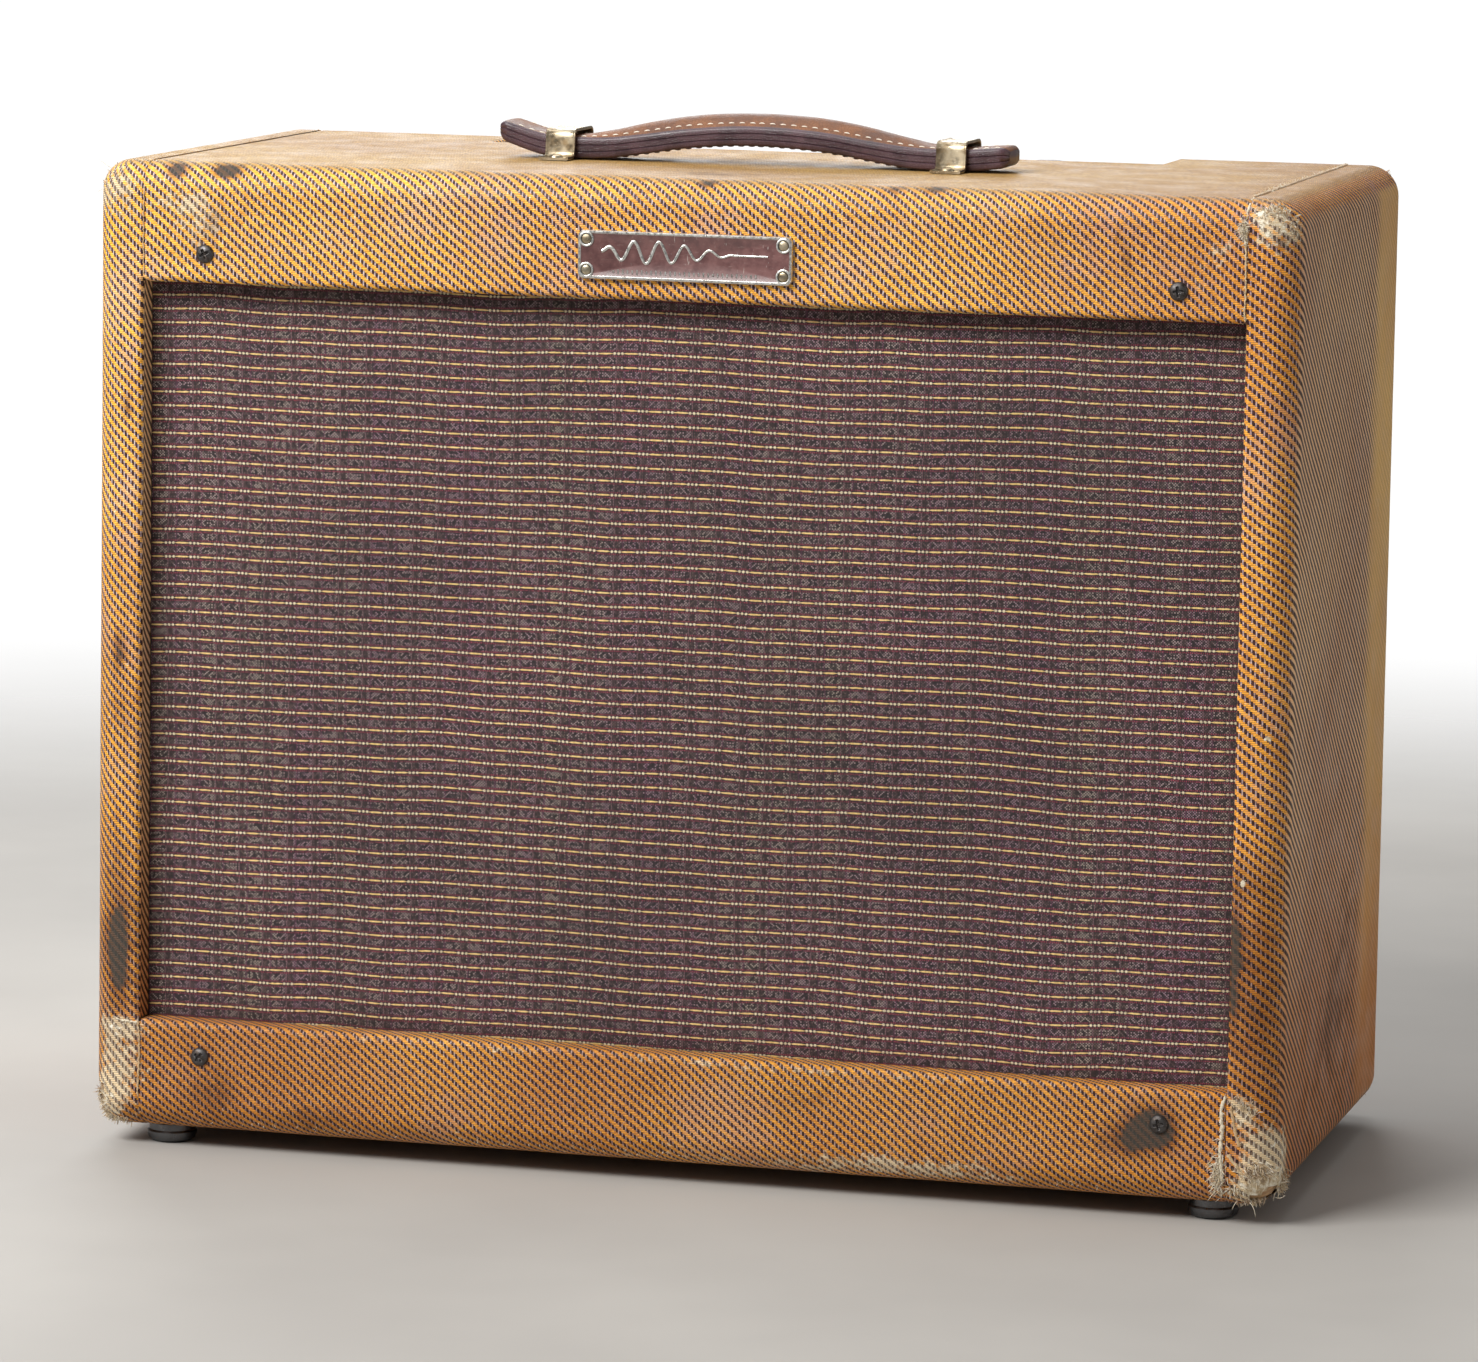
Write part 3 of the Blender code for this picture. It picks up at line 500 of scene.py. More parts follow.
def fibre(name):
    """Loose cotton ends; their colour is in the mesh."""
    g = Graph(name, roughness=0.85, sheen_weight=0.5, sheen_roughness=0.5)
    tint = g.node("ShaderNodeVertexColor", layer_name="age").outputs["Color"]
    flecks = g.noise(g.place(), 1500.0, 2.0)
    g.put("Base Color", g.mix(g.mul(g.step(flecks, 0.35, 0.7), 0.45), tint, g.times(tint, (0.55, 0.45, 0.32))))
    g.bump(flecks, 0.0001, 0.6)
    return g.material


def wood(name, light, dark, ring=1.0, along=(1.0, 6.0, 6.0)):
    g = Graph(name, roughness=0.62)
    place = g.stretch(g.place(), along)
    flow = g.noise(place, 7.0 * ring, 3.0, 0.55, distortion=1.2)
    bands = g.math("SINE", g.mul(flow, 60.0))
    pores = g.noise(g.stretch(g.place(), along), 180.0, 3.0, 0.7)
    fac = g.sum(g.mul(g.step(bands, -1.0, 1.0), 0.55), g.mul(pores, 0.45))
    g.put("Base Color", g.mix(fac, dark, light))
    g.put("Roughness", g.step(pores, 0.3, 0.7, 0.5, 0.75))
    g.bump(g.sum(g.mul(bands, 0.25), pores), 0.0002, 0.5)
    return g.material


def metal(name, colour, roughness, blotch=(0.7, 0.66, 0.6), amount=0.35, scale=90.0, scratch=0.15):
    """Aged metal with tarnish, fine scratches and a varied gloss."""
    g = Graph(name, colour=colour, roughness=roughness, metallic=1.0)
    place = g.place()
    tarnish = g.step(g.noise(place, scale, 5.0, 0.65), 0.42, 0.68)
    scratches = g.step(g.noise(g.stretch(place, (1.0, 1.0, 14.0)), 420.0, 2.0, 0.7), 0.62, 0.74)
    base = g.mix(g.mul(tarnish, amount), colour, g.times(colour, blotch))
    g.put("Base Color", g.mix(g.mul(scratches, scratch), base, (0.9, 0.9, 0.88)))
    g.put(
        "Roughness",
        g.step(g.noise(place, scale * 2.2, 4.0), 0.3, 0.7, max(roughness - 0.1, 0.05), min(roughness + 0.18, 1.0))
    )
    g.bump(g.sum(g.mul(tarnish, 0.4), g.mul(scratches, -0.4)), 0.00006, 0.6)
    return g.material


def plain(name, light, dark, roughness=0.5, scale=120.0, bump=0.00008, **values):
    """Moulded, painted or pressed stuff: two close tones, fine relief and a varied gloss."""
    g = Graph(name, roughness=roughness, **values)
    place = g.place()
    cloud = g.noise(place, scale, 5.0, 0.6)
    grain = g.noise(place, scale * 9.0, 3.0, 0.6)
    fac = g.step(g.sum(g.mul(cloud, 0.7), g.mul(grain, 0.3)), 0.3, 0.7)
    g.put("Base Color", g.mix(fac, dark, light))
    g.put("Roughness", g.step(cloud, 0.3, 0.7, max(roughness - 0.08, 0.03), min(roughness + 0.12, 1.0)))
    g.bump(g.sum(cloud, grain), bump, 0.5)
    return g.material


def leather(name, light, dark, roughness, gloss=0.3):
    g = Graph(name, roughness=roughness, coat_weight=gloss, coat_roughness=0.25)
    place = g.place()
    cells = g.node("ShaderNodeTexVoronoi", feature="DISTANCE_TO_EDGE")
    g.plug(cells.inputs["Vector"], place)
    cells.inputs["Scale"].default_value = 900.0
    creases = g.step(cells.outputs["Distance"], 0.0, 0.25)
    cloud = g.noise(place, 70.0, 5.0, 0.65)
    rub = g.step(g.noise(g.stretch(place, (0.4, 1.0, 1.0)), 160.0, 4.0, 0.7), 0.5, 0.75)
    base = g.mix(g.step(cloud, 0.3, 0.7), dark, light)
    base = g.mix(g.mul(rub, 0.35), base, g.times(light, (1.7, 1.6, 1.5)))
    g.put("Base Color", g.times(base, g.mix(creases, (0.7, 0.66, 0.64), (1.0, 1.0, 1.0))))
    g.put("Roughness", g.step(cloud, 0.3, 0.7, roughness - 0.1, roughness + 0.15))
    g.bump(g.sum(creases, cloud), 0.00012, 0.6)
    return g.material


def enamel(name):
    """Maroon-brown enamel, scratched and rubbed."""
    g = Graph(name, roughness=0.34, coat_weight=0.3, coat_roughness=0.2)
    place = g.place()
    cloud = g.noise(place, 180.0, 5.0, 0.65)
    rubs = g.step(g.noise(g.stretch(place, (0.35, 1.0, 1.6)), 620.0, 4.0, 0.75), 0.55, 0.72)
    nicks = g.step(g.noise(g.stretch(place, (1.5, 1.0, 0.3)), 900.0, 2.0, 0.6), 0.68, 0.76)
    base = g.mix(g.step(cloud, 0.3, 0.7), (0.105, 0.045, 0.045), (0.19, 0.085, 0.08))
    base = g.mix(g.mul(rubs, 0.45), base, (0.32, 0.22, 0.20))
    g.put("Base Color", g.mix(g.mul(nicks, 0.6), base, (0.55, 0.50, 0.46)))
    g.put("Roughness", g.step(cloud, 0.3, 0.7, 0.28, 0.5))
    g.bump(g.sum(cloud, g.mul(nicks, -0.6)), 0.00005, 0.6)
    return g.material


M = {
    "tweed": tweed("aged_tweed"),
    "panel": tweed("panel_tweed", 0.6),
    "grille": grille("grille_weave"),
    "fibre": fibre("loose_cotton"),
    "pine": wood("pine", (0.62, 0.40, 0.21), (0.34, 0.18, 0.08)),
    "ply": wood("plywood", (0.58, 0.42, 0.25), (0.36, 0.22, 0.11), 1.6),
    "dark_screw": metal("blued_screw", (0.105, 0.10, 0.10), 0.44, (0.5, 0.36, 0.26), 0.7, 320.0),
    "steel": metal("bright_screw", (0.62, 0.61, 0.58), 0.32, (0.55, 0.42, 0.32), 0.4, 200.0),
    "silver": metal("badge_metal", (0.78, 0.78, 0.75), 0.3, (0.55, 0.5, 0.42), 0.5, 300.0),
    "nickel": metal("aged_nickel", (0.50, 0.43, 0.31), 0.36, (0.50, 0.38, 0.24), 0.75, 150.0, 0.2),
    "chrome": metal("panel_chrome", (0.74, 0.74, 0.74), 0.28, (0.75, 0.7, 0.62), 0.35, 220.0, 0.2),
    "pot": metal("pot_metal", (0.55, 0.54, 0.52), 0.36),
    "glide": metal("glide_steel", (0.13, 0.13, 0.135), 0.36, (0.5, 0.38, 0.3), 0.6, 150.0),
    "iron": plain("transformer_iron", (0.050, 0.050, 0.055), (0.022, 0.022, 0.024), 0.45, 60.0),
    "frame_paint": metal("frame_paint", (0.42, 0.44, 0.42), 0.42, (0.6, 0.55, 0.4), 0.6, 60.0),
    "magnet": plain("magnet_paint", (0.060, 0.085, 0.10), (0.035, 0.05, 0.06), 0.4, 50.0),
    "board": plain("eyelet_board", (0.10, 0.085, 0.07), (0.05, 0.042, 0.036), 0.6, 80.0),
    "knob": plain("knob_plastic", (0.045, 0.048, 0.055), (0.018, 0.018, 0.022), 0.28, 90.0, 0.00005),
    "fuse": plain("fuse_plastic", (0.040, 0.036, 0.034), (0.016, 0.014, 0.014), 0.35, 90.0),
    "cone": plain("cone_paper", (0.075, 0.062, 0.052), (0.032, 0.027, 0.024), 0.85, 160.0, 0.0002),
    "lead": plain("lead_cloth", (0.10, 0.085, 0.05), (0.035, 0.030, 0.020), 0.8, 500.0, 0.0002),
    "leather_top": leather("strap_brown", (0.27, 0.115, 0.050), (0.12, 0.045, 0.022), 0.58, 0.06),
    "leather_edge": leather("strap_edge", (0.10, 0.050, 0.068), (0.040, 0.020, 0.030), 0.4, 0.35),
    "stitch": plain("stitch_thread", (0.90, 0.86, 0.78), (0.74, 0.66, 0.54), 0.7, 900.0),
    "enamel": enamel("badge_enamel"),
    "red": plain("pilot_red", (0.55, 0.02, 0.015), (0.28, 0.008, 0.006), 0.12, 60.0, 0.00003, coat_weight=0.6),
}




# ---------------------------------------------------------------- age of the cloth, with painted shade and a painted highlight on two rail edges

# (x, y, z, reach x, reach y, reach z, dirt and painted shade, wear and painted highlight, bare): stains, rubbed places
# and torn edges, and painted shade and highlight along the rails' rounded edges at the opening
SPOTS = [
    (183.7, FRONT, 392, 2.2, 9, 9, 0.75, 0, 0),
    (180.0, FRONT, 398, 2.0, 9, 5, 0.5, 0, 0),
    (-201, FRONT, 393, 6, 9, 7, 0.35, 0, 0),
    (-188, FRONT, 397, 3.5, 9, 6, 0.35, 0, 0),
    (-205, FRONT, 378, 12, 9, 9, 0.35, 0, 0),
    (205, FRONT, 378, 9, 9, 8, 0.3, 0, 0),
    (-239, FRONT, 314, 3, 9, 7, 0.8, 0, 0),
    (-242, FRONT, 211, 4, 9, 10, 0.75, 0, 0),
    (-242, FRONT, 185, 7, 9, 22, 0.3, 0, 0),
    (-242, FRONT, 82, 3, 9, 11, 0.95, 0, 0),
    (-242, FRONT, 95, 9, 12, 34, 0.5, 0, 0),
    (-198, FRONT, 25, 16, 9, 8, 0.36, 0, 0),
    (-150, FRONT, 18, 30, 12, 6, 0.34, 0, 0),
    (-205, FRONT, 42, 9, 9, 9, 0.3, 0, 0),
    (204, FRONT, 40, 11, 9, 10, 0.95, 0, 0),
    (190, FRONT, 33, 16, 9, 9, 0.5, 0, 0),
    (55, FRONT, 38, 26, 9, 9, 0.35, 0, 0),
    (234, FRONT, 110, 3, 9, 34, 0.6, 0, 0),
    (236, FRONT, 146, 5, 9, 12, 0.12, 0, 0),
    (243, FRONT, 100, 9, 12, 46, 0.42, 0, 0),
    (240, FRONT, 225, 6, 9, 40, 0.2, 0, 0),
    (-243, FRONT, 70, 14, 12, 70, 0.28, 0, 0),
    (243, FRONT, 90, 14, 14, 66, 0.36, 0, 0),
    (-226, FRONT, 376, 9, 9, 14, 0.3, 0, 0),
    (222, FRONT, 395, 5, 9, 10, 0, 0.5, 0),
    (213, FRONT, 385, 4, 9, 12, 0, 0.45, 0),
    (-215, FRONT, 398, 12, 9, 8, 0, 0.42, 0),
    (246, FRONT, 200, 1.6, 9, 1.6, 0, 0.9, 0.9),
    (237, FRONT, 140, 1.2, 9, 1.2, 0, 0.9, 0.9),
    (237, FRONT, 134, 1.2, 9, 1.2, 0, 0.9, 0.9),
    (-219, -116, 413, 6, 6, 5, 1.2, 0, 0),
    (-197, -116, 413, 8, 6, 5, 1.1, 0, 0),
    (-243, FRONT, 398, 9, 9, 12, 0.2, 0.45, 0),
    (-205, FRONT, 389, 16, 9, 14, 0.1, 0.4, 0),
    # a paler band along the rounded top edge of the bottom rail: partly wear, partly a painted highlight where the edge
    # turns up to the light
    (0, FRONT, 52.5, 225, 4, 1.8, 0.1, 0.42, 0),
    # a darker band along the rounded lower edge of the top rail, where it turns in to the grille: painted shade
    (0, FRONT, 367, 235, 6, 2.4, 0.35, 0, 0),
    (8, -114, TOP, 5, 4.5, 6, 1.0, 0, 0),
    (86, -114, TOP, 5, 4.5, 6, 1.0, 0, 0),
    (104, -112, TOP, 6, 5, 6, 0.9, 0, 0),
    (55, -108, TOP, 3, 4, 6, 0.6, 0, 0),
    (2, -82, TOP, 22, 16, 6, 0.55, 0, 0),
    (-160, -8, TOP, 26, 18, 6, 0.3, 0, 0),
    (254, 22, 92, 10, 46, 38, 0.42, 0, 0),
    (254, -10, 62, 10, 40, 24, 0.36, 0, 0),
    (254, -60, 320, 10, 40, 60, 0.15, 0, 0),
    (-254, 10, 120, 10, 60, 50, 0.4, 0, 0),
    (-254, -40, 300, 10, 30, 40, 0.2, 0, 0),
    # rubbed and fluffy corners
    (242, -118, 410, 10, 13, 7, 0.25, 0.75, 0.62),
    (249, -114, 401, 5, 8, 6, 0, 0.75, 0.4),
    (239, -116, 401, 5, 9, 5, 0, 0.55, 0.2),
    (246, -116, 399, 3, 6, 3, 0.9, 0, 0),
    (-246, -112, 407, 10, 12, 8, 0.3, 0.7, 0.45),
    (-251, -108, 398, 5, 9, 6, 0, 0.6, 0.25),
    (246, -118, 30, 12, 14, 18, 0, 0.85, 0.2),
    (249, -116, 14, 12, 16, 10, 0, 0.9, 0.8),
    (238, FRONT, 48, 7, 9, 6, 0, 0.8, 0.5),
    (254, -110, 26, 6, 14, 14, 0, 0.6, 0.3),
    (-243, FRONT, 34, 12, 14, 20, 0, 0.85, 0.15),
    (-249, -114, 18, 9, 14, 10, 0, 0.9, 0.7),
    (-240, FRONT, 51, 9, 9, 4, 0, 0.7, 0.35),
    (249, 116, 14, 10, 12, 10, 0, 0.9, 0.7),
    (-249, 116, 14, 10, 12, 10, 0, 0.9, 0.7),
    (249, 116, 410, 8, 9, 8, 0, 0.7, 0.45),
    (-249, 116, 410, 8, 9, 8, 0, 0.7, 0.45),
    (75, FRONT, 10, 190, 9, 5, 0, 0.5, 0.05),
    (100, FRONT, 16, 60, 6, 5, 0, 0.5, 0.0),
]


def age_and_painted_light_at(points):
    """Dirt and painted shade, wear and painted highlight, and bareness at each point, from 0 to 1."""
    p = np.asarray(points, float)
    out = np.zeros((len(p), 3))
    for x, y, z, rx, ry, rz, dirt_and_shade, wear_and_highlight, bare in SPOTS:
        fall = np.exp(-(((p[:, 0] - x) / rx) ** 2 + ((p[:, 1] - y) / ry) ** 2 + ((p[:, 2] - z) / rz) ** 2))
        out += fall[:, None] * (dirt_and_shade, wear_and_highlight, bare)
    # the cloth is dirtier near the floor
    out[:, 0] += 0.25 * np.clip((70 - p[:, 2]) / 70, 0, 1)
    return np.clip(out, 0, 1)


# ---------------------------------------------------------------- cloth covers


def claim(obj, body, slot, *nodes):
    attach(obj, body)
    if nodes:
        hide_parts(*nodes)
    return obj


def rail_path(low):
    """A rail cover's section from the rear edge to the grille, and the weave's own length at each point."""
    hem, edge, face, lip = (FLOOR, BASE, CORE_LOW, OPEN_LOW) if low else (CEILING, TOP, CORE_HIGH, OPEN_HIGH)
    out = -1 if low else 1
    pts = [(REAR, z) for z in spaced(hem, face, 2.4)]
    pts += arc((CORE_Y, face), ROUND, 0, 90 * out, 10)[1:]
    pts += [(y, edge) for y in spaced(CORE_Y, -CORE_Y, 2.4)[1:]]
    pts += arc((-CORE_Y, face), ROUND, 90 * out, 180 * out, 10)[1:]
    pts += [(FRONT, z) for z in spaced(face, lip + 2.5 * out, 2.2)[1:]]
    pts += arc((FRONT + 2.5, lip + 2.5 * out), 2.5, 180, 180 + 90 * out, 5)[1:]
    pts += [(y, lip) for y in spaced(FRONT + 2.5, CLOTH_BACK, 2.4)[1:]]
    lengths = [0.0]
    for a, b in zip(pts, pts[1:]):
        lengths.append(lengths[-1] + math.dist(a, b))
    start = next(k for k, (y, z) in enumerate(pts) if y < -120 and abs(z - face) < 0.01)
    return pts, [face - out * (s - lengths[start]) for s in lengths]


def puckered(p, normal, amount=0.10):
    """Moves a point of cloth a little along its normal: slow waves of the board below and small puckers."""
    d = wobble(p, 70, amount, 3.0) + wobble(p, 14, amount * 0.5, 7.0) + wobble(p, 4.5, amount * 0.35, 11.0)
    return tuple(a + n * d for a, n in zip(p, normal))


def drawn(uv, pull):
    """The weave of a cover that was pulled out unevenly when it was glued."""
    return [(u / pull[0], v / pull[1]) for u, v in uv]


def rail_cover(name, low):
    pts, weave = rail_path(low)
    cols = sorted(set([NOTCH_LOW - 2.5, NOTCH_HIGH + 2.5] + spaced(-OPEN_X, NOTCH_LOW - 2.5, 2.5)
                      + spaced(NOTCH_LOW - 2.5, NOTCH_HIGH + 2.5, 2.5) + spaced(NOTCH_HIGH + 2.5, OPEN_X, 2.5)))
    if not low:
        near = min(range(len(pts)), key=lambda k: abs(pts[k][1] - TOP) + abs(pts[k][0] - (NOTCH_FRONT - 2.5)))
        pts[near] = (NOTCH_FRONT - 2.5, TOP)
    build = Build()
    verts, uv = [], []
    for k, (y, z) in enumerate(pts):
        t = unit(np.array(pts[min(k + 1, len(pts) - 1)]) - np.array(pts[max(k - 1, 0)]))
        normal = (0, -t[1], t[0]) if low else (0, t[1], -t[0])
        for x in cols:
            edge = max(0.0, abs(x) - OPEN_X + 0.7)
            p = puckered((x, y, z), normal)
            verts.append((p[0], p[1] - normal[1] * edge * 0.6, p[2] - normal[2] * edge * 0.6))
            uv.append((x, weave[k]))

    def covered(r, c):
        return low or not (r < near and NOTCH_LOW - 3 < cols[c] and cols[c + 1] < NOTCH_HIGH + 3)

    pull = (1.05, 0.96) if low else (1.09, 1.04)
    build.add(verts, grid_faces(len(pts), len(cols), covered), uv=drawn(uv, pull), tint=age_and_painted_light_at(verts))
    if not low:
        # the cloth turns down into the control notch
        side = pts[:near]
        ring, across = [], []
        for drop, reach in [
            (0.0, 2.5), (0.2, 1.5), (0.75, 0.72), (1.6, 0.2), (2.5, 0.0)
        ] + [(d, 0.0) for d in spaced(2.5, 19.0, 2.75)[1:]]:
            line = [(NOTCH_LOW - reach, y, z) for y, z in side]
            line += [
                (x, NOTCH_FRONT - reach, TOP)
                for x in [NOTCH_LOW - reach] + [
                    c for c in cols if NOTCH_LOW - 1 < c < NOTCH_HIGH + 1
                ] + [NOTCH_HIGH + reach]
            ]
            line += [(NOTCH_HIGH + reach, y, z) for y, z in reversed(side)]
            ring.append([(x, y, max(z - drop, CEILING + 0.8)) for x, y, z in line])
            across.append([(x, y + drop) for x, y, _ in line])
        verts = [p for line in ring for p in line]
        flat_uv = [(x, TOP + 20.4 - ROUND - CORE_Y - q) for line in across for x, q in line]
        build.add(verts, grid_faces(len(ring), len(ring[0])), uv=drawn(flat_uv, pull), tint=age_and_painted_light_at(verts))
    obj = build.make(name, [M["tweed"]])
    weld(obj)
    return obj


def side_cover(name, sign):
    """Front strip, side and rear strip in one piece, folded over the top and the bottom and into the front opening."""
    rows = []
    for k in range(11):
        a = math.radians(90 - 9 * k)
        rows.append((CORE_LOW - ROUND * math.sin(a), ROUND * (1 - math.cos(a)), CORE_LOW - ROUND * a))
    levels = sorted(
        set(
            spaced(CORE_LOW, OPEN_LOW - 0.05, 2.4) + spaced(OPEN_LOW + 0.05, OPEN_HIGH - 0.05, 2.6)
            + spaced(OPEN_HIGH + 0.05, CORE_HIGH, 2.4)
        )
    )
    rows += [(z, 0.0, z) for z in levels[1:-1]]
    for k in range(11):
        a = math.radians(9 * k)
        rows.append((CORE_HIGH + ROUND * math.sin(a), ROUND * (1 - math.cos(a)), CORE_HIGH + ROUND * a))
    strip = [OPEN_X + d for d in (0.0, 0.35, 0.9, 1.6, 2.5)] + spaced(OPEN_X + 2.5, CORE_X, 2.2)[1:]
    side = spaced(-CORE_Y, CORE_Y, 2.5)
    quarter = ROUND * math.pi / 2
    verts, uv, n = [], [], 0
    for z, inset, v in rows:
        inside = OPEN_LOW < z < OPEN_HIGH
        line = []
        for k, (back, tuck) in enumerate(((CLOTH_BACK, 12.0), (-113.5, 7.5), (-118.15, 2.0))):
            y = back if inside else FRONT + 0.9 - 0.25 * k
            line.append((OPEN_X, y + inset, OPEN_X - tuck))
        for x in strip:
            d = max(0.0, OPEN_X + 2.5 - x) if inside else max(0.0, OPEN_X + 0.8 - x)
            r = 2.5 if inside else 0.8
            line.append((x, FRONT + inset + r - math.sqrt(max(r * r - d * d, 0.0)), x))
        for k in range(1, 10):
            a = math.radians(9 * k)
            r = ROUND - inset
            line.append((CORE_X + r * math.sin(a), -CORE_Y - r * math.cos(a), CORE_X + ROUND * a))
        line += [(WIDE - inset, y, CORE_X + quarter + y + CORE_Y) for y in side]
        for k in range(1, 10):
            a = math.radians(9 * k)
            r = ROUND - inset
            line.append((CORE_X + r * math.cos(a), CORE_Y + r * math.sin(a), CORE_X + quarter + 2 * CORE_Y + ROUND * a))
        last = INSIDE + 0.2 if FLOOR < z < CEILING else OPEN_X
        line += [
            (x, REAR - inset, CORE_X + 2 * quarter + 2 * CORE_Y + CORE_X - x) for x in spaced(CORE_X, last, 2.5)
        ][:4]
        for k, (x, y, u) in enumerate(line):
            p = np.array((sign * x, y, z))
            core = np.array((sign * min(x, CORE_X), min(max(y, -CORE_Y), CORE_Y), min(max(z, CORE_LOW), CORE_HIGH)))
            normal = unit(p - core) if k > 3 else (0.0, 0.0, 0.0)
            verts.append(puckered(p, normal))
            uv.append((sign * u, v))
        n = len(line)
    hole_at = (248.5, -113.5, 12.0, 7.5, 7.0, 3.4) if sign > 0 else (250.5, -112.0, 22.5, 4.0, 7.0, 6.0)

    def keep(r, c):
        p = verts[r * n + c]
        place = (abs(p[0]), p[1], p[2])
        d = math.sqrt(sum(((place[i] - hole_at[i]) / hole_at[i + 3]) ** 2 for i in range(3)))
        return d + wobble(p, 3.0, 0.5, 5.0) > 1.0

    build = Build()
    pull = (1.26, 1.02) if sign > 0 else (0.99, 1.10)
    build.add(verts, grid_faces(len(rows), n, keep), uv=drawn(uv, pull), tint=age_and_painted_light_at(verts))
    for z, run in ((TOP, 1), (BASE, -1)):
        flat, flat_uv = [], []
        xs = spaced(CORE_X, OPEN_X, 2.2)
        for x in xs:
            for y in side:
                p = (sign * x, y, z)
                flat.append(puckered(p, (0, 0, run)))
                edge = CORE_HIGH + quarter + (CORE_X - x) if run > 0 else CORE_LOW - quarter - (CORE_X - x)
                flat_uv.append((sign * (CORE_X + quarter + y + CORE_Y), edge))
        build.add(flat, grid_faces(len(xs), len(side)), uv=drawn(flat_uv, pull), tint=age_and_painted_light_at(flat))
    obj = build.make(name, [M["tweed"]])
    weld(obj)
    return obj


def outward(obj, centre):
    """Turns an open cloth's faces away from the cabinet's middle."""
    mesh = obj.data
    middle = Vector(centre) * MM
    votes = sum(p.area * (1 if p.normal.dot(p.center - middle) > 0 else -1) for p in mesh.polygons)
    if votes < 0:
        mesh.flip_normals()
    return obj


# node: (cloth, flat size in metres, flat area, what it is glued to)
COVERS = {
    "top_cover": (rail_cover("tweed_top", False), (0.465, 0.310), 0.128, ["top_board", "front_top_rail"]),
    "bottom_cover": (rail_cover("tweed_bottom", True), (0.465, 0.312), 0.145, ["bottom_board", "front_bottom_rail"]),
    "left_cover": (side_cover("tweed_left", -1), (0.430, 0.290), 0.122, ["left_side_board"]),
    "right_cover": (side_cover("tweed_right", 1), (0.430, 0.290), 0.122, ["right_side_board"]),
}
for node, (cover, flat, area, rests) in COVERS.items():
    claim(outward(cover, (0, 0, 212)), "cabinet", "tweed", node)


# ---------------------------------------------------------------- grille cloth


def grille_sheet():
    xs, zs = spaced(-OPEN_X + 0.2, OPEN_X - 0.2, 4.0), spaced(OPEN_LOW + 0.1, OPEN_HIGH - 0.1, 4.0)
    verts = []
    for z in zs:
        for x in xs:
            sag = wobble((x, 0, z), 90, 0.25, 2.0) + wobble((x, 0, z), 18, 0.06, 9.0)
            verts.append((x, CLOTH_BACK + 0.15 + sag, z))
    tints = np.zeros((len(verts), 3))
    p = np.array(verts)
    for x, z, rx, rz, dirt_and_shade, bare in (
        (-161.5, 309, 2.2, 38, 0, 0.55), (-159, 262, 1.4, 28, 0, 0.5), (-123, 284, 2.5, 9, 0, 0.5),
        (-140, 240, 60, 60, 0.25, 0), (60, 150, 90, 60, 0.25, 0), (-60, 90, 80, 30, 0.3, 0), (120, 300, 60, 40, 0.2, 0),
    ):
        fall = np.exp(-(((p[:, 0] - x) / rx) ** 2 + ((p[:, 2] - z) / rz) ** 2))
        tints += fall[:, None] * (dirt_and_shade, 0, bare)
    # darker near the edges of the opening, added to the first tint channel: painted shade of the recess
    edge = np.minimum(np.minimum(OPEN_X - abs(p[:, 0]), p[:, 2] - OPEN_LOW), OPEN_HIGH - p[:, 2])
    tints[:, 0] += 0.6 * np.exp(-edge / 5.0)
    build = Build()
    build.add(verts, grid_faces(len(zs), len(xs)), tint=np.clip(tints, 0, 1))
    return build.make("grille_weave", [M["grille"]])


grille_obj = outward(grille_sheet(), (0, 100, 212))
claim(grille_obj, "cabinet", "grille_weave", "grille_cloth")


# ---------------------------------------------------------------- loose threads

TONES = [
    (0.80, 0.72, 0.56), (0.68, 0.57, 0.38), (0.86, 0.80, 0.68), (0.52, 0.38, 0.20), (0.60, 0.44, 0.28),
    (0.36, 0.23, 0.14)
]


def thread(build, rng, start, aim, length, radius, droop=0.25, curl=0.5, tone=None):
    """One loose cotton end: a short tapered tube that starts in the cloth and bends away."""
    steps = 5
    p, d = np.array(start, float), unit(aim)
    bend = np.array([rng.uniform(-1, 1) for _ in range(3)]) * curl
    path = [p]
    for _ in range(steps):
        d = unit(d + bend / steps * 1.6 + np.array((0, 0, -droop)) / steps)
        p = p + d * length / steps
        path.append(p)
    sizes = [1.0, 0.95, 0.85, 0.75, 0.6, 0.3]
    up = (0, 0, 1) if abs(unit(aim)[2]) < 0.9 else (0, 1, 0)
    sweep(build, path, ring_section(radius, 4), tint=tone or rng.choice(TONES), up=up, scale=sizes)


def on_cabinet(p):
    """The nearest point on the rounded outside of the cabinet."""
    core = np.array(
        [min(max(p[0], -CORE_X), CORE_X), min(max(p[1], -CORE_Y), CORE_Y), min(max(p[2], CORE_LOW), CORE_HIGH)]
    )
    away = np.array(p, float) - core
    return core + unit(away) * (ROUND - 0.15)


def tuft(
    build, rng, centre, spread, normal, count, length, radius=(0.12, 0.24), tones=None, lean=(0, 0, 0), droop=0.25
):
    """Many ends that start about one place on the cloth."""
    normal = unit(normal)
    for _ in range(count):
        start = on_cabinet([c + rng.gauss(0, 0.5) * s for c, s in zip(centre, spread)])
        aim = normal * rng.uniform(0.15, 0.7) + np.array([rng.uniform(-1, 1) for _ in range(3)]) * 0.8 + np.array(lean)
        thread(
            build, rng, start, aim, rng.uniform(*length), rng.uniform(*radius), droop=droop,
            tone=rng.choice(tones) if tones else None
        )


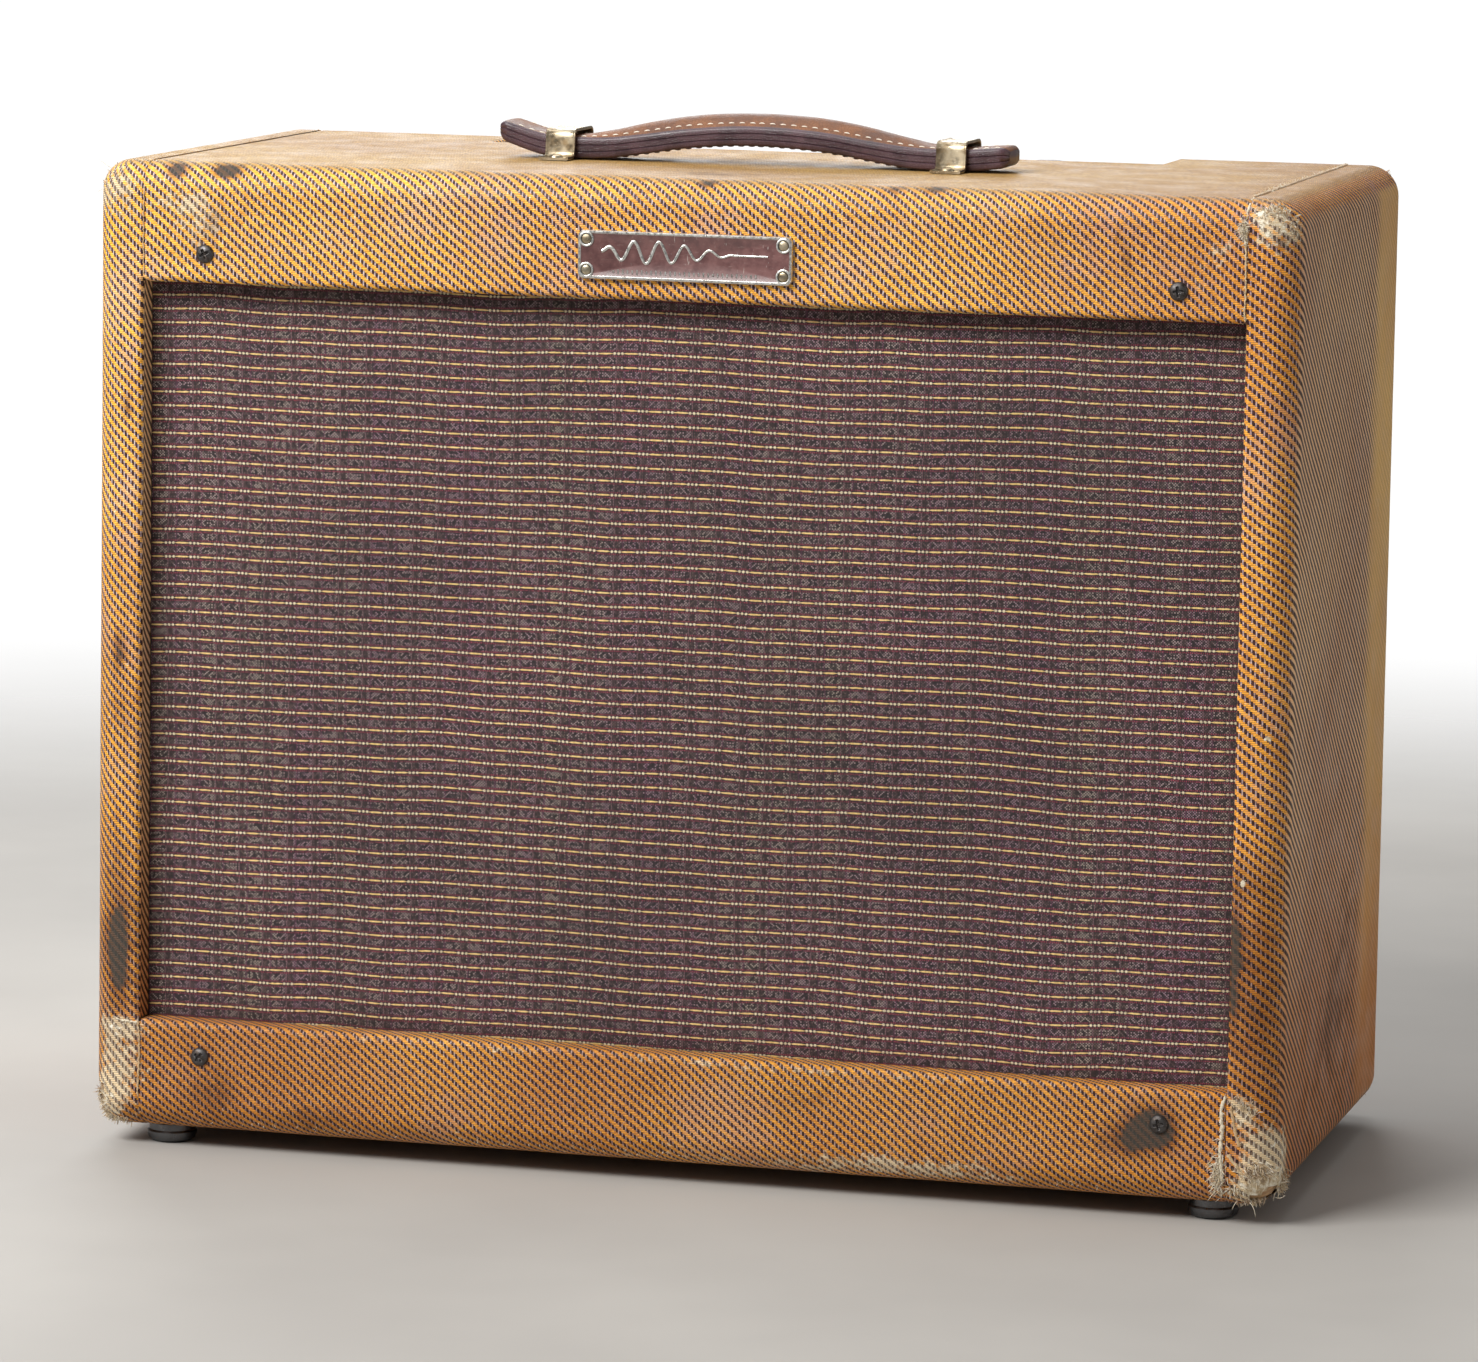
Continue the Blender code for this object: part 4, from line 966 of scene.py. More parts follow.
def seam(build, rng, points, normal, every=0.9, length=(0.6, 1.8), raised=0.35, tones=None):
    """A cut edge of cloth: a lumpy raised ridge with short ends standing out of it."""
    normal = unit(normal)
    path, sizes = [], []
    for a, b in zip(points, points[1:]):
        a, b = np.array(a, float), np.array(b, float)
        n = max(2, int(np.linalg.norm(b - a) / 0.8))
        for k in range(n):
            p = a + (b - a) * k / n
            path.append(p + normal * 0.1 + unit(np.cross(normal, b - a)) * rng.uniform(-0.25, 0.25))
            sizes.append(rng.uniform(0.55, 1.35))
    tone = (tones or TONES)[0]
    sweep(build, path, ring_section(raised, 6), tint=tone, up=tuple(normal), scale=sizes)
    for p in path:
        for _ in range(int(1 / every * 1.5) + (rng.random() < 0.5)):
            aim = normal * rng.uniform(0.0, 0.8) + np.array([rng.uniform(-1, 1) for _ in range(3)])
            thread(
                build, rng, p, aim, rng.uniform(*length), rng.uniform(0.10, 0.2), tone=rng.choice(tones or TONES[:4])
            )


def frays():
    rng = random.Random(41)
    pieces = {}
    warm = [(0.62, 0.42, 0.22), (0.70, 0.52, 0.30), (0.80, 0.68, 0.48), (0.42, 0.26, 0.14)]
    # upper right: a frayed seam down the front and along the top, a blob and a fluffy patch
    b = Build()
    x = OPEN_X
    seam(
        b, rng,
        [(x - 0.4, FRONT, OPEN_HIGH + 2), (x - 0.3, FRONT, 382), (x - 0.6, FRONT, 396), (x - 0.2, FRONT - 0.1, 404)],
        (0, -1, 0.1), every=1.5, tones=warm[1:] + TONES[:2]
    )
    seam(
        b, rng, [(x - 0.8, FRONT, 398), (x - 1.2, FRONT, 403), (x - 0.6, -117, 412), (x - 0.2, -108, TOP)],
        (0, -1, 0.6), every=0.5, raised=0.6, tones=TONES[:4]
    )
    seam(
        b, rng,
        [(x - 0.3, -108, TOP), (x - 0.5, -60, TOP), (x - 0.3, -10, TOP), (x - 0.4, 40, TOP), (x - 0.4, 104, TOP)],
        (0, 0, 1), every=0.6, raised=0.6, tones=warm + TONES[:3]
    )
    tuft(b, rng, (x - 1.6, FRONT, 404), (1.7, 0.4, 5.5), (-0.4, -1, 0), 150, (1.0, 3.4), tones=TONES[:3])
    tuft(b, rng, (x - 1.0, -60, TOP), (1.6, 26, 0.2), (0, 0, 1), 130, (0.8, 2.2), tones=warm + TONES[:3])
    tuft(b, rng, (243, -116.5, 411), (8.5, 3.5, 3.5), (0.2, -0.8, 0.7), 210, (1.0, 3.0), tones=TONES, droop=0.1)
    tuft(b, rng, (248, -114, 404), (4.0, 4.0, 4.0), (0.5, -0.8, 0.3), 70, (0.8, 2.0), tones=TONES[2:] + warm)
    pieces["fray_upper_right"] = b
    # upper left: a pale raised seam, a worn corner and a few long strays
    b = Build()
    seam(
        b, rng,
        [
            (-x + 0.4, FRONT, OPEN_HIGH + 3), (-x + 0.2, FRONT, 390), (-x + 0.4, FRONT, 403), (-x + 0.2, -116, 412.5),
            (-x + 0.2, -108, TOP)
        ],
        (0, -1, 0.2), every=2.5, raised=0.3, length=(0.4, 1.0), tones=warm
    )
    seam(
        b, rng, [(-x + 0.3, -108, TOP), (-x + 0.3, 60, TOP)], (0, 0, 1), every=2.0, raised=0.3, length=(0.4, 1.2),
        tones=warm
    )
    tuft(b, rng, (-246, -114, 409), (7, 4, 3), (-0.2, -0.7, 0.7), 60, (0.8, 2.2), tones=TONES[1:])
    for start, aim, length in (
        ((-249, -110, 411), (-0.9, 0, 0.5), 9), ((-236, -112, 414.5), (0.3, -0.2, 0.8), 5),
        ((-251, -112, 404), (-1, -0.2, 0.2), 5)
    ):
        thread(b, rng, start, aim, length, 0.16, droop=0.6, curl=0.9, tone=TONES[2])
    pieces["fray_upper_left"] = b
    # lower right: heavily torn, with threads hanging to the floor
    b = Build()
    seam(
        b, rng,
        [
            (x - 0.3, FRONT, OPEN_LOW - 1), (x - 1.8, FRONT, 48), (x - 1.2, FRONT - 0.2, 40),
            (x - 1.8, FRONT - 0.2, 30), (x - 1.0, FRONT, 21), (x - 1.6, -117, 12)
        ],
        (0, -1, 0), every=0.45, raised=0.75, tones=TONES[:3]
    )
    seam(
        b, rng, [(x + 2.0, FRONT, 50), (x + 4.5, FRONT, 38), (x + 6.5, FRONT, 33)], (0, -1, 0), every=1.0, raised=0.55,
        tones=warm
    )
    seam(
        b, rng, [(x + 1.5, FRONT, 30), (x + 6, FRONT, 24), (x + 10, -120, 17)], (0, -1, 0), every=0.9, raised=0.6,
        tones=warm[1:]
    )
    tuft(
        b, rng, (x - 2.4, FRONT, 23), (3.0, 0.6, 9.0), (-0.3, -1, -0.2), 260, (1.2, 4.0), tones=TONES[:3],
        lean=(-0.3, 0, -0.4)
    )
    tuft(b, rng, (245, -118, 24), (7.5, 1.5, 3.2), (0.2, -1, 0.1), 230, (1.5, 4.6), tones=TONES, lean=(0.5, 0, -0.15))
    tuft(b, rng, (236, -119, 15), (3.5, 1.5, 3.0), (0, -1, -0.2), 80, (1.2, 3.6), tones=TONES[:4], lean=(0, 0, -0.3))
    tuft(
        b, rng, (251.5, -104, 17), (2.5, 5.0, 4.5), (1, -0.3, -0.2), 170, (1.5, 4.5), tones=TONES[:5],
        lean=(0.2, 0, -0.6)
    )
    tuft(
        b, rng, (243, -113, 9.8), (8.0, 4.0, 0.8), (0, -0.7, -0.6), 120, (1.2, 3.0), tones=TONES[1:], lean=(0.1, 0, 0.1)
    )
    tuft(b, rng, (241, FRONT, 50), (4.5, 0.6, 3.0), (0.1, -1, 0.2), 90, (1.0, 3.0), tones=TONES[1:5])
    for start, aim, length in (
        ((238, -120, 11), (-0.2, -0.6, -0.2), 6), ((243, -119, 10.5), (0.5, -0.5, -0.1), 7),
        ((252, -112, 12), (0.7, -0.3, -0.2), 7), ((x - 3, FRONT, 15), (-0.3, -0.6, -0.2), 6)
    ):
        thread(b, rng, start, aim, length, 0.17, droop=0.25, curl=0.8, tone=TONES[0])
    pieces["fray_lower_right"] = b
    # lower left
    b = Build()
    seam(
        b, rng,
        [
            (-x - 0.2, FRONT, OPEN_LOW - 1), (-x + 0.5, FRONT, 44), (-x + 0.2, FRONT, 34), (-x - 0.4, FRONT, 24),
            (-x + 0.4, -118, 14)
        ],
        (0, -1, 0), every=1.2, raised=0.4, length=(0.5, 1.4), tones=warm + TONES[:2]
    )
    seam(
        b, rng,
        [(-x - 0.5, FRONT, OPEN_LOW - 1.5), (-x - 8, FRONT, OPEN_LOW - 1.0), (-x - 12, FRONT + 0.8, OPEN_LOW + 0.5)],
        (0, -1, 0.2), every=0.9, raised=0.4, tones=TONES[:4]
    )
    tuft(b, rng, (-248, -115, 20), (5.0, 4.0, 6.0), (-0.6, -0.8, 0), 130, (1.0, 3.0), tones=TONES)
    tuft(
        b, rng, (-246, -114, 11), (8.0, 4.0, 1.5), (-0.2, -0.7, -0.4), 150, (1.2, 3.2), tones=TONES[:5],
        lean=(0, 0, -0.2)
    )
    pieces["fray_lower_left"] = b
    # rear corners and the rail's bottom edge
    b = Build()
    for sx in (-1, 1):
        tuft(b, rng, (sx * 248, 115, 13), (5, 5, 3), (sx * 0.6, 0.7, -0.1), 90, (1.0, 3.0), tones=TONES)
        tuft(b, rng, (sx * 248, 115, 411), (5, 5, 3), (sx * 0.5, 0.6, 0.5), 60, (0.8, 2.2), tones=TONES)
        seam(
            b, rng,
            [
                (sx * (x - 0.3), REAR, 398), (sx * (x - 0.3), REAR, 404), (sx * (x - 0.3), 116, 413),
                (sx * (x - 0.3), 107, TOP)
            ],
            (0, 1, 0.4), every=1.5, raised=0.35, tones=warm
        )
    for _ in range(150):
        px = rng.uniform(-220, 222)
        thread(
            b, rng, (px, -118.6 + rng.uniform(-1, 1), 13.2 + rng.uniform(-1, 1)), (rng.uniform(-0.6, 0.6), -1, -0.3),
            rng.uniform(0.6, 1.5), 0.12, tone=rng.choice(TONES[:4])
        )
    pieces["fray_edges"] = b
    for name, build in pieces.items():
        obj = build.make(name, [M["fibre"]])
        claim(obj, "cabinet", "tweed")


frays()


# ---------------------------------------------------------------- screws and badge


def phillips(build, centre, radius, rise, axis, turn, slot=0, recess=0.62):
    """A domed cross-head screw as a fine square grid over its disc."""
    n = 40
    side = {"-Y": (1, 0, 0), "Y": (-1, 0, 0), "Z": (1, 0, 0)}[axis]
    up = {"-Y": (0, 0, 1), "Y": (0, 0, 1), "Z": (0, 1, 0)}[axis]
    out = {"-Y": (0, -1, 0), "Y": (0, 1, 0), "Z": (0, 0, 1)}[axis]
    side, up, out = (np.array(v, float) for v in (side, up, out))
    verts = []
    for r in range(n + 1):
        for c in range(n + 1):
            a, b = 2 * c / n - 1, 2 * r / n - 1
            # square to disc
            x = a * math.sqrt(1 - b * b / 2) * radius
            y = b * math.sqrt(1 - a * a / 2) * radius
            d = math.hypot(x, y) / radius
            h = rise * math.sqrt(max(1 - d * d * 0.96, 0.0)) if d < 0.98 else rise * 0.1
            cs, sn = math.cos(turn), math.sin(turn)
            p, q = abs(x * cs + y * sn) / radius, abs(-x * sn + y * cs) / radius
            arm = max(min(1, (0.15 - min(p, q)) / 0.05), 0) * max(min(1, (0.56 - max(p, q)) / 0.1), 0)
            core = max(min(1, (0.26 - math.hypot(p, q)) / 0.08), 0)
            h -= recess * rise * max(arm * (1 - 0.7 * max(p, q)), core)
            verts.append(tuple(np.array(centre) + side * x + up * y + out * h))
    build.add(verts, grid_faces(n + 1, n + 1), slot)
    skirt = []
    for h in (0.1 * rise, -0.4):
        for k in range(48):
            a = 2 * math.pi * k / 48
            skirt.append(tuple(np.array(centre) + side * radius * math.cos(a) + up * radius * math.sin(a) + out * h))
    build.add(skirt, grid_faces(2, 48, close=True), slot)


def middle(node):
    low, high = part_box(node)
    return [(a + b) / 2 / MM for a, b in zip(low, high)], [v / MM for v in low], [v / MM for v in high]


def single(build, name, materials, body, slot, *nodes, smooth=True, angle=None):
    return claim(build.make(name, materials, smooth=smooth, angle=angle), body, slot, *nodes)


for node, turn in (("front_screw_top_left", 0.5), ("front_screw_top_right", 0.15),
                   ("front_screw_bottom_left", 0.9), ("front_screw_bottom_right", 0.25)):
    c, _, _ = middle(node)
    b = Build()
    phillips(b, (c[0], FRONT + 0.1, c[2]), 3.9, 2.2, "-Y", turn)
    single(b, "domed_" + node, [M["dark_screw"]], "cabinet", "dark_screw", node)


def rounded_rect(w, h, r, steps=6):
    pts = []
    for cx, cz, a in (
        (w / 2 - r, h / 2 - r, 0), (-w / 2 + r, h / 2 - r, 90), (-w / 2 + r, -h / 2 + r, 180),
        (w / 2 - r, -h / 2 + r, 270)
    ):
        pts += arc((cx, cz), r, a, a + 90, steps)
    return pts


def badge():
    c, low, high = middle("nameplate")
    w, h = high[0] - low[0], high[2] - low[2]
    b = Build()
    levels = [
        (0.0, 0.0, high[1]), (0.0, 0.0, low[1] + 0.35), (0.25, 0.15, low[1] + 0.05), (0.55, 0.4, low[1]),
        (0.95, 0.7, low[1]), (1.15, 0.85, low[1] + 0.22), (1.25, 0.95, low[1] + 0.3)
    ]
    outline = [rounded_rect(w - 2 * i, h - 2 * i, max(2.6 - i, 0.8)) for i, _, _ in levels]
    n = len(outline[0])
    verts = [(c[0] + x, y, c[2] + z) for pts, (_, _, y) in zip(outline, levels) for x, z in pts]
    faces = grid_faces(len(levels), n, close=True)
    b.add(verts, faces, 0)
    field = [(c[0] + x, low[1] + 0.3, c[2] + z) for x, z in outline[-1]]
    b.add(field + [(c[0], low[1] + 0.3, c[2])], [(k, (k + 1) % n, n) for k in range(n)], 1)
    # a dying wave in raised metal, over a row of small bars
    path, sizes = [], []
    for k in range(241):
        t = k / 240
        x = -35 + 70 * t
        swell = (math.sin(math.pi * min(t * 1.25, 1.0)) ** 0.8) * math.exp(-1.6 * t) * 1.5
        z = 1.6 + 5.2 * swell * math.sin(2 * math.pi * 6.5 * t)
        path.append((c[0] + x, low[1] + 0.18, c[2] + z))
        sizes.append(1.0 - 0.5 * t)
    sweep(
        b, path, [(0.72 * math.cos(a), 0.34 * math.sin(a)) for a in (k * math.pi / 4 for k in range(8))], 0,
        up=(0, -1, 0), scale=sizes
    )
    for k in range(31):
        x = -30 + 2 * k
        tall = 0.5 + 0.55 * abs(math.sin(k * 0.9)) * (1 - k / 60)
        sweep(b, [(c[0] + x, low[1] + 0.22, c[2] - 6.6 - tall), (c[0] + x, low[1] + 0.22, c[2] - 6.6 + tall)],
              [(0.34 * math.cos(a), 0.2 * math.sin(a)) for a in (q * math.pi / 3 for q in range(6))], 0, up=(0, -1, 0))
    for sx in (-1, 1):
        for sz in (-1, 1):
            px, pz = c[0] + sx * (w / 2 - 3.6), c[2] + sz * (h / 2 - 3.6)
            ring = [(3.1, 0.0), (3.1, 0.25), (2.8, 0.42), (2.5, 0.42), (2.3, 0.3), (2.3, 0.0)]
            lathe(b, ring, (px, low[1] + 0.25, pz), "-Y", 40, 0)
            dome = (
                [(2.05, -0.1), (2.05, 0.15)]
                + [(2.05 * math.cos(a), 0.15 + 0.62 * math.sin(a)) for a in (k * math.pi / 16 for k in range(1, 8))]
                + [(0.0, 0.77)]
            )
            lathe(b, dome, (px, low[1] + 0.3, pz), "-Y", 32, 2)
    obj = b.make("badge_plate", [M["silver"], M["enamel"], M["nickel"]], angle=40)
    weld(obj, 1e-6)
    claim(obj, "cabinet", "badge", "nameplate")


badge()

# ---------------------------------------------------------------- handle

HANDLE_X, HANDLE_Y, STRAP_HALF = 4.0, -12.0, 12.0
STRAP_PATH = [
    # x from the handle's middle, height of the underside, thickness at the edge, crown
    (-112.5, 7.6, 8.4, 0.2), (-106.0, 5.4, 8.8, 0.3), (-96.0, 2.2, 9.0, 0.3), (-88.0, 0.8, 9.0, 0.3),
    (-76.0, 0.5, 9.0, 1.0), (-64.0, 1.0, 8.8, 2.8), (-48.0, 3.4, 8.4, 4.5), (-30.0, 6.2, 8.2, 5.0),
    (-10.0, 7.9, 8.2, 4.9), (10.0, 7.9, 8.2, 4.9), (30.0, 6.4, 8.2, 5.0), (48.0, 3.6, 8.4, 4.5),
    (64.0, 1.2, 8.8, 2.8), (76.0, 0.5, 9.0, 1.0), (90.0, 0.6, 9.0, 0.3), (100.0, 1.4, 9.0, 0.3), (108.5, 2.6, 8.4, 0.2),
]


def strap_at(x):
    """The underside, thickness and crown of the strap at x from the handle's middle, smoothed between its stations."""
    rows = STRAP_PATH
    k = max(0, min(len(rows) - 2, next((q for q in range(len(rows) - 1) if x <= rows[q + 1][0]), len(rows) - 2)))
    p0, p1, p2, p3 = rows[max(k - 1, 0)], rows[k], rows[k + 1], rows[min(k + 2, len(rows) - 1)]
    t = (x - p1[0]) / (p2[0] - p1[0])
    out = []
    for c in (1, 2, 3):
        h = p2[0] - p1[0]
        m1 = (p2[c] - p0[c]) / max(p2[0] - p0[0], 1e-6) * h
        m2 = (p3[c] - p1[c]) / max(p3[0] - p1[0], 1e-6) * h
        out.append(
            (2 * t**3 - 3 * t**2 + 1) * p1[c] + (t**3 - 2 * t**2 + t) * m1 + (-2 * t**3 + 3 * t**2) * p2[c]
            + (t**3 - t**2) * m2
        )
    return out


def strap_section(x):
    under, thick, crown = strap_at(x)
    end = min(x + 112.5, 108.5 - x)
    w = STRAP_HALF * (1 - 0.22 * (1 - min(end, 4.0) / 4.0) ** 2)
    soft = (1 - min(end, 3.0) / 3.0) ** 2
    under, thick = under + 0.2 * thick * soft, thick * (1 - 0.42 * soft)
    half = [
        (w - 1.3, 0.0), (w - 0.4, 0.3), (w, 1.1), (w, 0.29 * thick), (w - 0.45, 0.33 * thick), (w, 0.37 * thick),
        (w, 0.60 * thick), (w - 0.45, 0.64 * thick), (w, 0.68 * thick), (w, thick - 1.2), (w - 0.4, thick - 0.35),
        (w - 1.5, thick)
    ]
    inner = w - 1.5
    tops = [
        (inner * f, thick + crown * (1 - f * f) ** 0.8) for f in (0.93, 0.8, 0.6, 0.35, 0.0, -0.35, -0.6, -0.8, -0.93)
    ]
    ring = half + tops + [(-a, b) for a, b in reversed(half)] + [(-w * 0.5, 0.0), (0.0, 0.0), (w * 0.5, 0.0)]
    return [(HANDLE_Y + a, TOP + under + b) for a, b in ring], len(half)


def strap_half(name, sign):
    limit = 108.5 if sign > 0 else 112.5
    stations = [sign * s for s in spaced(0, limit - 4, 2.0)] + [sign * (limit - d) for d in (3.0, 2.0, 1.2, 0.6, 0.0)]
    b = Build()
    verts = []
    for x in stations:
        ring, count = strap_section(x)
        n = len(ring)
        for k, (y, z) in enumerate(ring):
            d = wobble((x, y, z), 9.0, 0.12, 4.0)
            verts.append((HANDLE_X + x, y + d, z + d * 0.6))
    faces = grid_faces(len(stations), n, close=True)
    top = set(range(count - 1, count + 9))
    quads = [(f, 0 if (i % n) in top else 1) for i, f in enumerate(faces)]
    last = (len(stations) - 1) * n
    caps = [tuple(range(n - 1, -1, -1)), tuple(range(last, last + n))]
    b.add(verts, [f for f, s in quads if s == 0], 0)
    b.add(verts, [f for f, s in quads if s == 1] + caps, 1)
    # a row of stitches near each edge, and the thread that shows on the underside
    x = 2.0
    while x < limit - 5:
        for y in (-9.4, 9.4):
            path = []
            for d in (-1.15, -0.6, 0.0, 0.6, 1.15):
                under, thick, crown = strap_at(sign * (x + d))
                lift = thick + crown * (1 - (9.4 / 10.5) ** 2) ** 0.8
                path.append(
                    (HANDLE_X + sign * (x + d), HANDLE_Y + y, TOP + under + lift + 0.2 * (1 - (d / 1.3) ** 2) - 0.12)
                )
            sweep(b, path, ring_section(0.30, 8), 2, scale=[0.5, 0.9, 1.0, 0.9, 0.5])
            if x < 62:
                under, thick, crown = strap_at(sign * x)
                low = [
                    (HANDLE_X + sign * (x + d), HANDLE_Y + y * 1.12, TOP + under + 0.05)
                    for d in (-1.4, -0.7, 0.0, 0.7, 1.4)
                ]
                sweep(b, low, ring_section(0.5, 6), 1, scale=[0.4, 0.9, 1.0, 0.9, 0.4])
        x += 4.6
    obj = b.make(name, [M["leather_top"], M["leather_edge"], M["stitch"]])
    weld(obj, 1e-7)
    obj.data.set_sharp_from_angle(angle=math.radians(50))
    return obj


for label, sign in (("left", -1), ("right", 1)):
    half = strap_half("strap_" + label, sign)
    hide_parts("handle_strap")
    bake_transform(half)


def handle_loop(name, node):
    c, low, high = middle(node)
    x = c[0]
    half = (
        [(-24.6, 0.75), (-20.0, 0.70), (-16.2, 0.70)]
        + [(-16.2 + 2.5 * math.sin(a), 3.2 - 2.5 * math.cos(a)) for a in (math.radians(d) for d in (20, 45, 70, 90))]
    )
    half += (
        [(-13.45, 6.0), (-13.25, 9.2)]
        + [(-11.0 - 2.2 * math.cos(a), 9.85 + 2.2 * math.sin(a)) for a in (math.radians(d) for d in (15, 40, 65, 90))]
        + [(-7.0, 12.15), (-2.5, 12.1)]
    )
    pts = half + [(-a, z) for a, z in reversed(half)]
    path = [(x, HANDLE_Y + a, TOP + z) for a, z in pts]
    section = [
        (0.52, -6.0), (0.45, 6.0), (0.2, 6.4), (-0.55, 6.5), (-0.95, 6.2), (-0.80, 5.6), (-0.5, 5.0), (-0.5, -5.0),
        (-0.80, -5.6), (-0.95, -6.2), (-0.55, -6.5), (0.2, -6.4)
    ]
    b = Build()
    sweep(b, path, section, 0, up=(1, 0, 0))
    for sy in (-1, 1):
        phillips(b, (x, HANDLE_Y + sy * 19.8, TOP + 1.15), 3.0, 1.75, "Z", 0.6 + sy * 0.3, 1)
    obj = b.make(name, [M["nickel"], M["nickel"]], angle=45)
    claim(obj, "cabinet", "loop_metal", node)


handle_loop("bent_loop_left", "handle_loop_left")
handle_loop("bent_loop_right", "handle_loop_right")


# ---------------------------------------------------------------- feet and back panels

for node in ("foot_front_left", "foot_front_right", "foot_rear_left", "foot_rear_right"):
    c, low, high = middle(node)
    b = Build()
    lathe(
        b,
        [
            (0.0, 0.9), (2.2, 0.9), (2.6, 0.5), (6.5, 0.0), (8.6, 0.45), (9.9, 1.5), (10.5, 3.2), (10.5, 4.4),
            (9.7, 5.2), (9.7, 7.9), (0.0, 7.9)
        ],
        (c[0], c[1], 0), "Z", 48
    )
    single(b, "glide_" + node, [M["glide"]], "cabinet", "glide", node, angle=35)


def panel(name, node):
    """A board wrapped in tweed: rounded edges, a slightly puckered face and a folded hem inside."""
    c, low, high = middle(node)
    r = 2.2
    fine = [0.0, 0.25, 0.8, 1.5, 2.2]
    xs = [low[0] + d for d in fine] + spaced(low[0] + r, high[0] - r, 4.0)[1:-1] + [high[0] - d for d in reversed(fine)]
    zs = [low[2] + d for d in fine] + spaced(low[2] + r, high[2] - r, 4.0)[1:-1] + [high[2] - d for d in reversed(fine)]
    b = Build()
    verts = []
    for z in zs:
        for x in xs:
            d = min(x - low[0], high[0] - x, z - low[2], high[2] - z)
            drop = r - math.sqrt(max(r * r - max(r - d, 0) ** 2, 0.0))
            y = high[1] - 0.05 - drop
            verts.append(
                (x, y + (wobble((x, y, z), 60, 0.12, 1.0) + wobble((x, y, z), 10, 0.06, 6.0) if d > 1 else 0), z)
            )
    b.add(verts, grid_faces(len(zs), len(xs)), tint=age_and_painted_light_at(verts))
    edge = (
        [(x, zs[0]) for x in xs] + [(xs[-1], z) for z in zs[1:]] + [(x, zs[-1]) for x in reversed(xs[:-1])]
        + [(xs[0], z) for z in reversed(zs[1:-1])]
    )
    ring, uv = [], []
    for depth, inset in ((r, 0.0), (5.4, 0.0), (7.6, 0.0), (7.95, 0.3), (7.95, 16.0)):
        for x, z in edge:
            cx = min(max(x, low[0] + inset), high[0] - inset)
            cz = min(max(z, low[2] + inset), high[2] - inset)
            ring.append((cx, high[1] - 0.05 - depth, cz))
            out = 1 if x >= high[0] - 0.01 else -1 if x <= low[0] + 0.01 else 0
            rise = 1 if z >= high[2] - 0.01 else -1 if z <= low[2] + 0.01 else 0
            uv.append((x + out * depth, z + rise * depth))
    b.add(ring, grid_faces(5, len(edge), close=True), uv=uv, tint=age_and_painted_light_at(ring))
    n = len(edge)
    back = [
        (min(max(x, low[0] + 16), high[0] - 16), low[1] + 0.12, min(max(z, low[2] + 16), high[2] - 16)) for x, z in edge
    ]
    b.add(back, [tuple(range(n))], 1)
    obj = b.make(name, [M["panel"], M["ply"]], angle=50)
    weld(obj)
    claim(obj, "cabinet", "tweed_panel", node)


panel("panel_upper", "upper_back_panel")
panel("panel_lower", "lower_back_panel")
for k, node in enumerate(
    (
        "upper_back_panel_screw_left", "upper_back_panel_screw_right", "lower_back_panel_screw_left",
        "lower_back_panel_screw_right"
    )
):
    c, low, high = middle(node)
    b = Build()
    radius = (high[0] - low[0]) / 2
    lathe(
        b, [(radius + 1.6, 0.0), (radius + 1.5, 0.35), (radius + 0.3, 0.75), (radius + 0.1, 0.3)],
        (c[0], REAR - 0.1, c[2]), "Y", 40, 0
    )
    phillips(b, (c[0], REAR + 0.2, c[2]), radius, 1.9, "Y", 0.4 + k * 0.7)
    single(b, "domed_" + node, [M["steel"]], "cabinet", "steel_screw", node)


# ---------------------------------------------------------------- control panel

PANEL_Z, CONTROL_Y = 395.8, 91.0
KNOBS = {
    "tone_knob": (104.0, "tone_control"), "volume_knob_1": (66.0, "volume_control_1"),
    "volume_knob_2": (28.0, "volume_control_2")
}


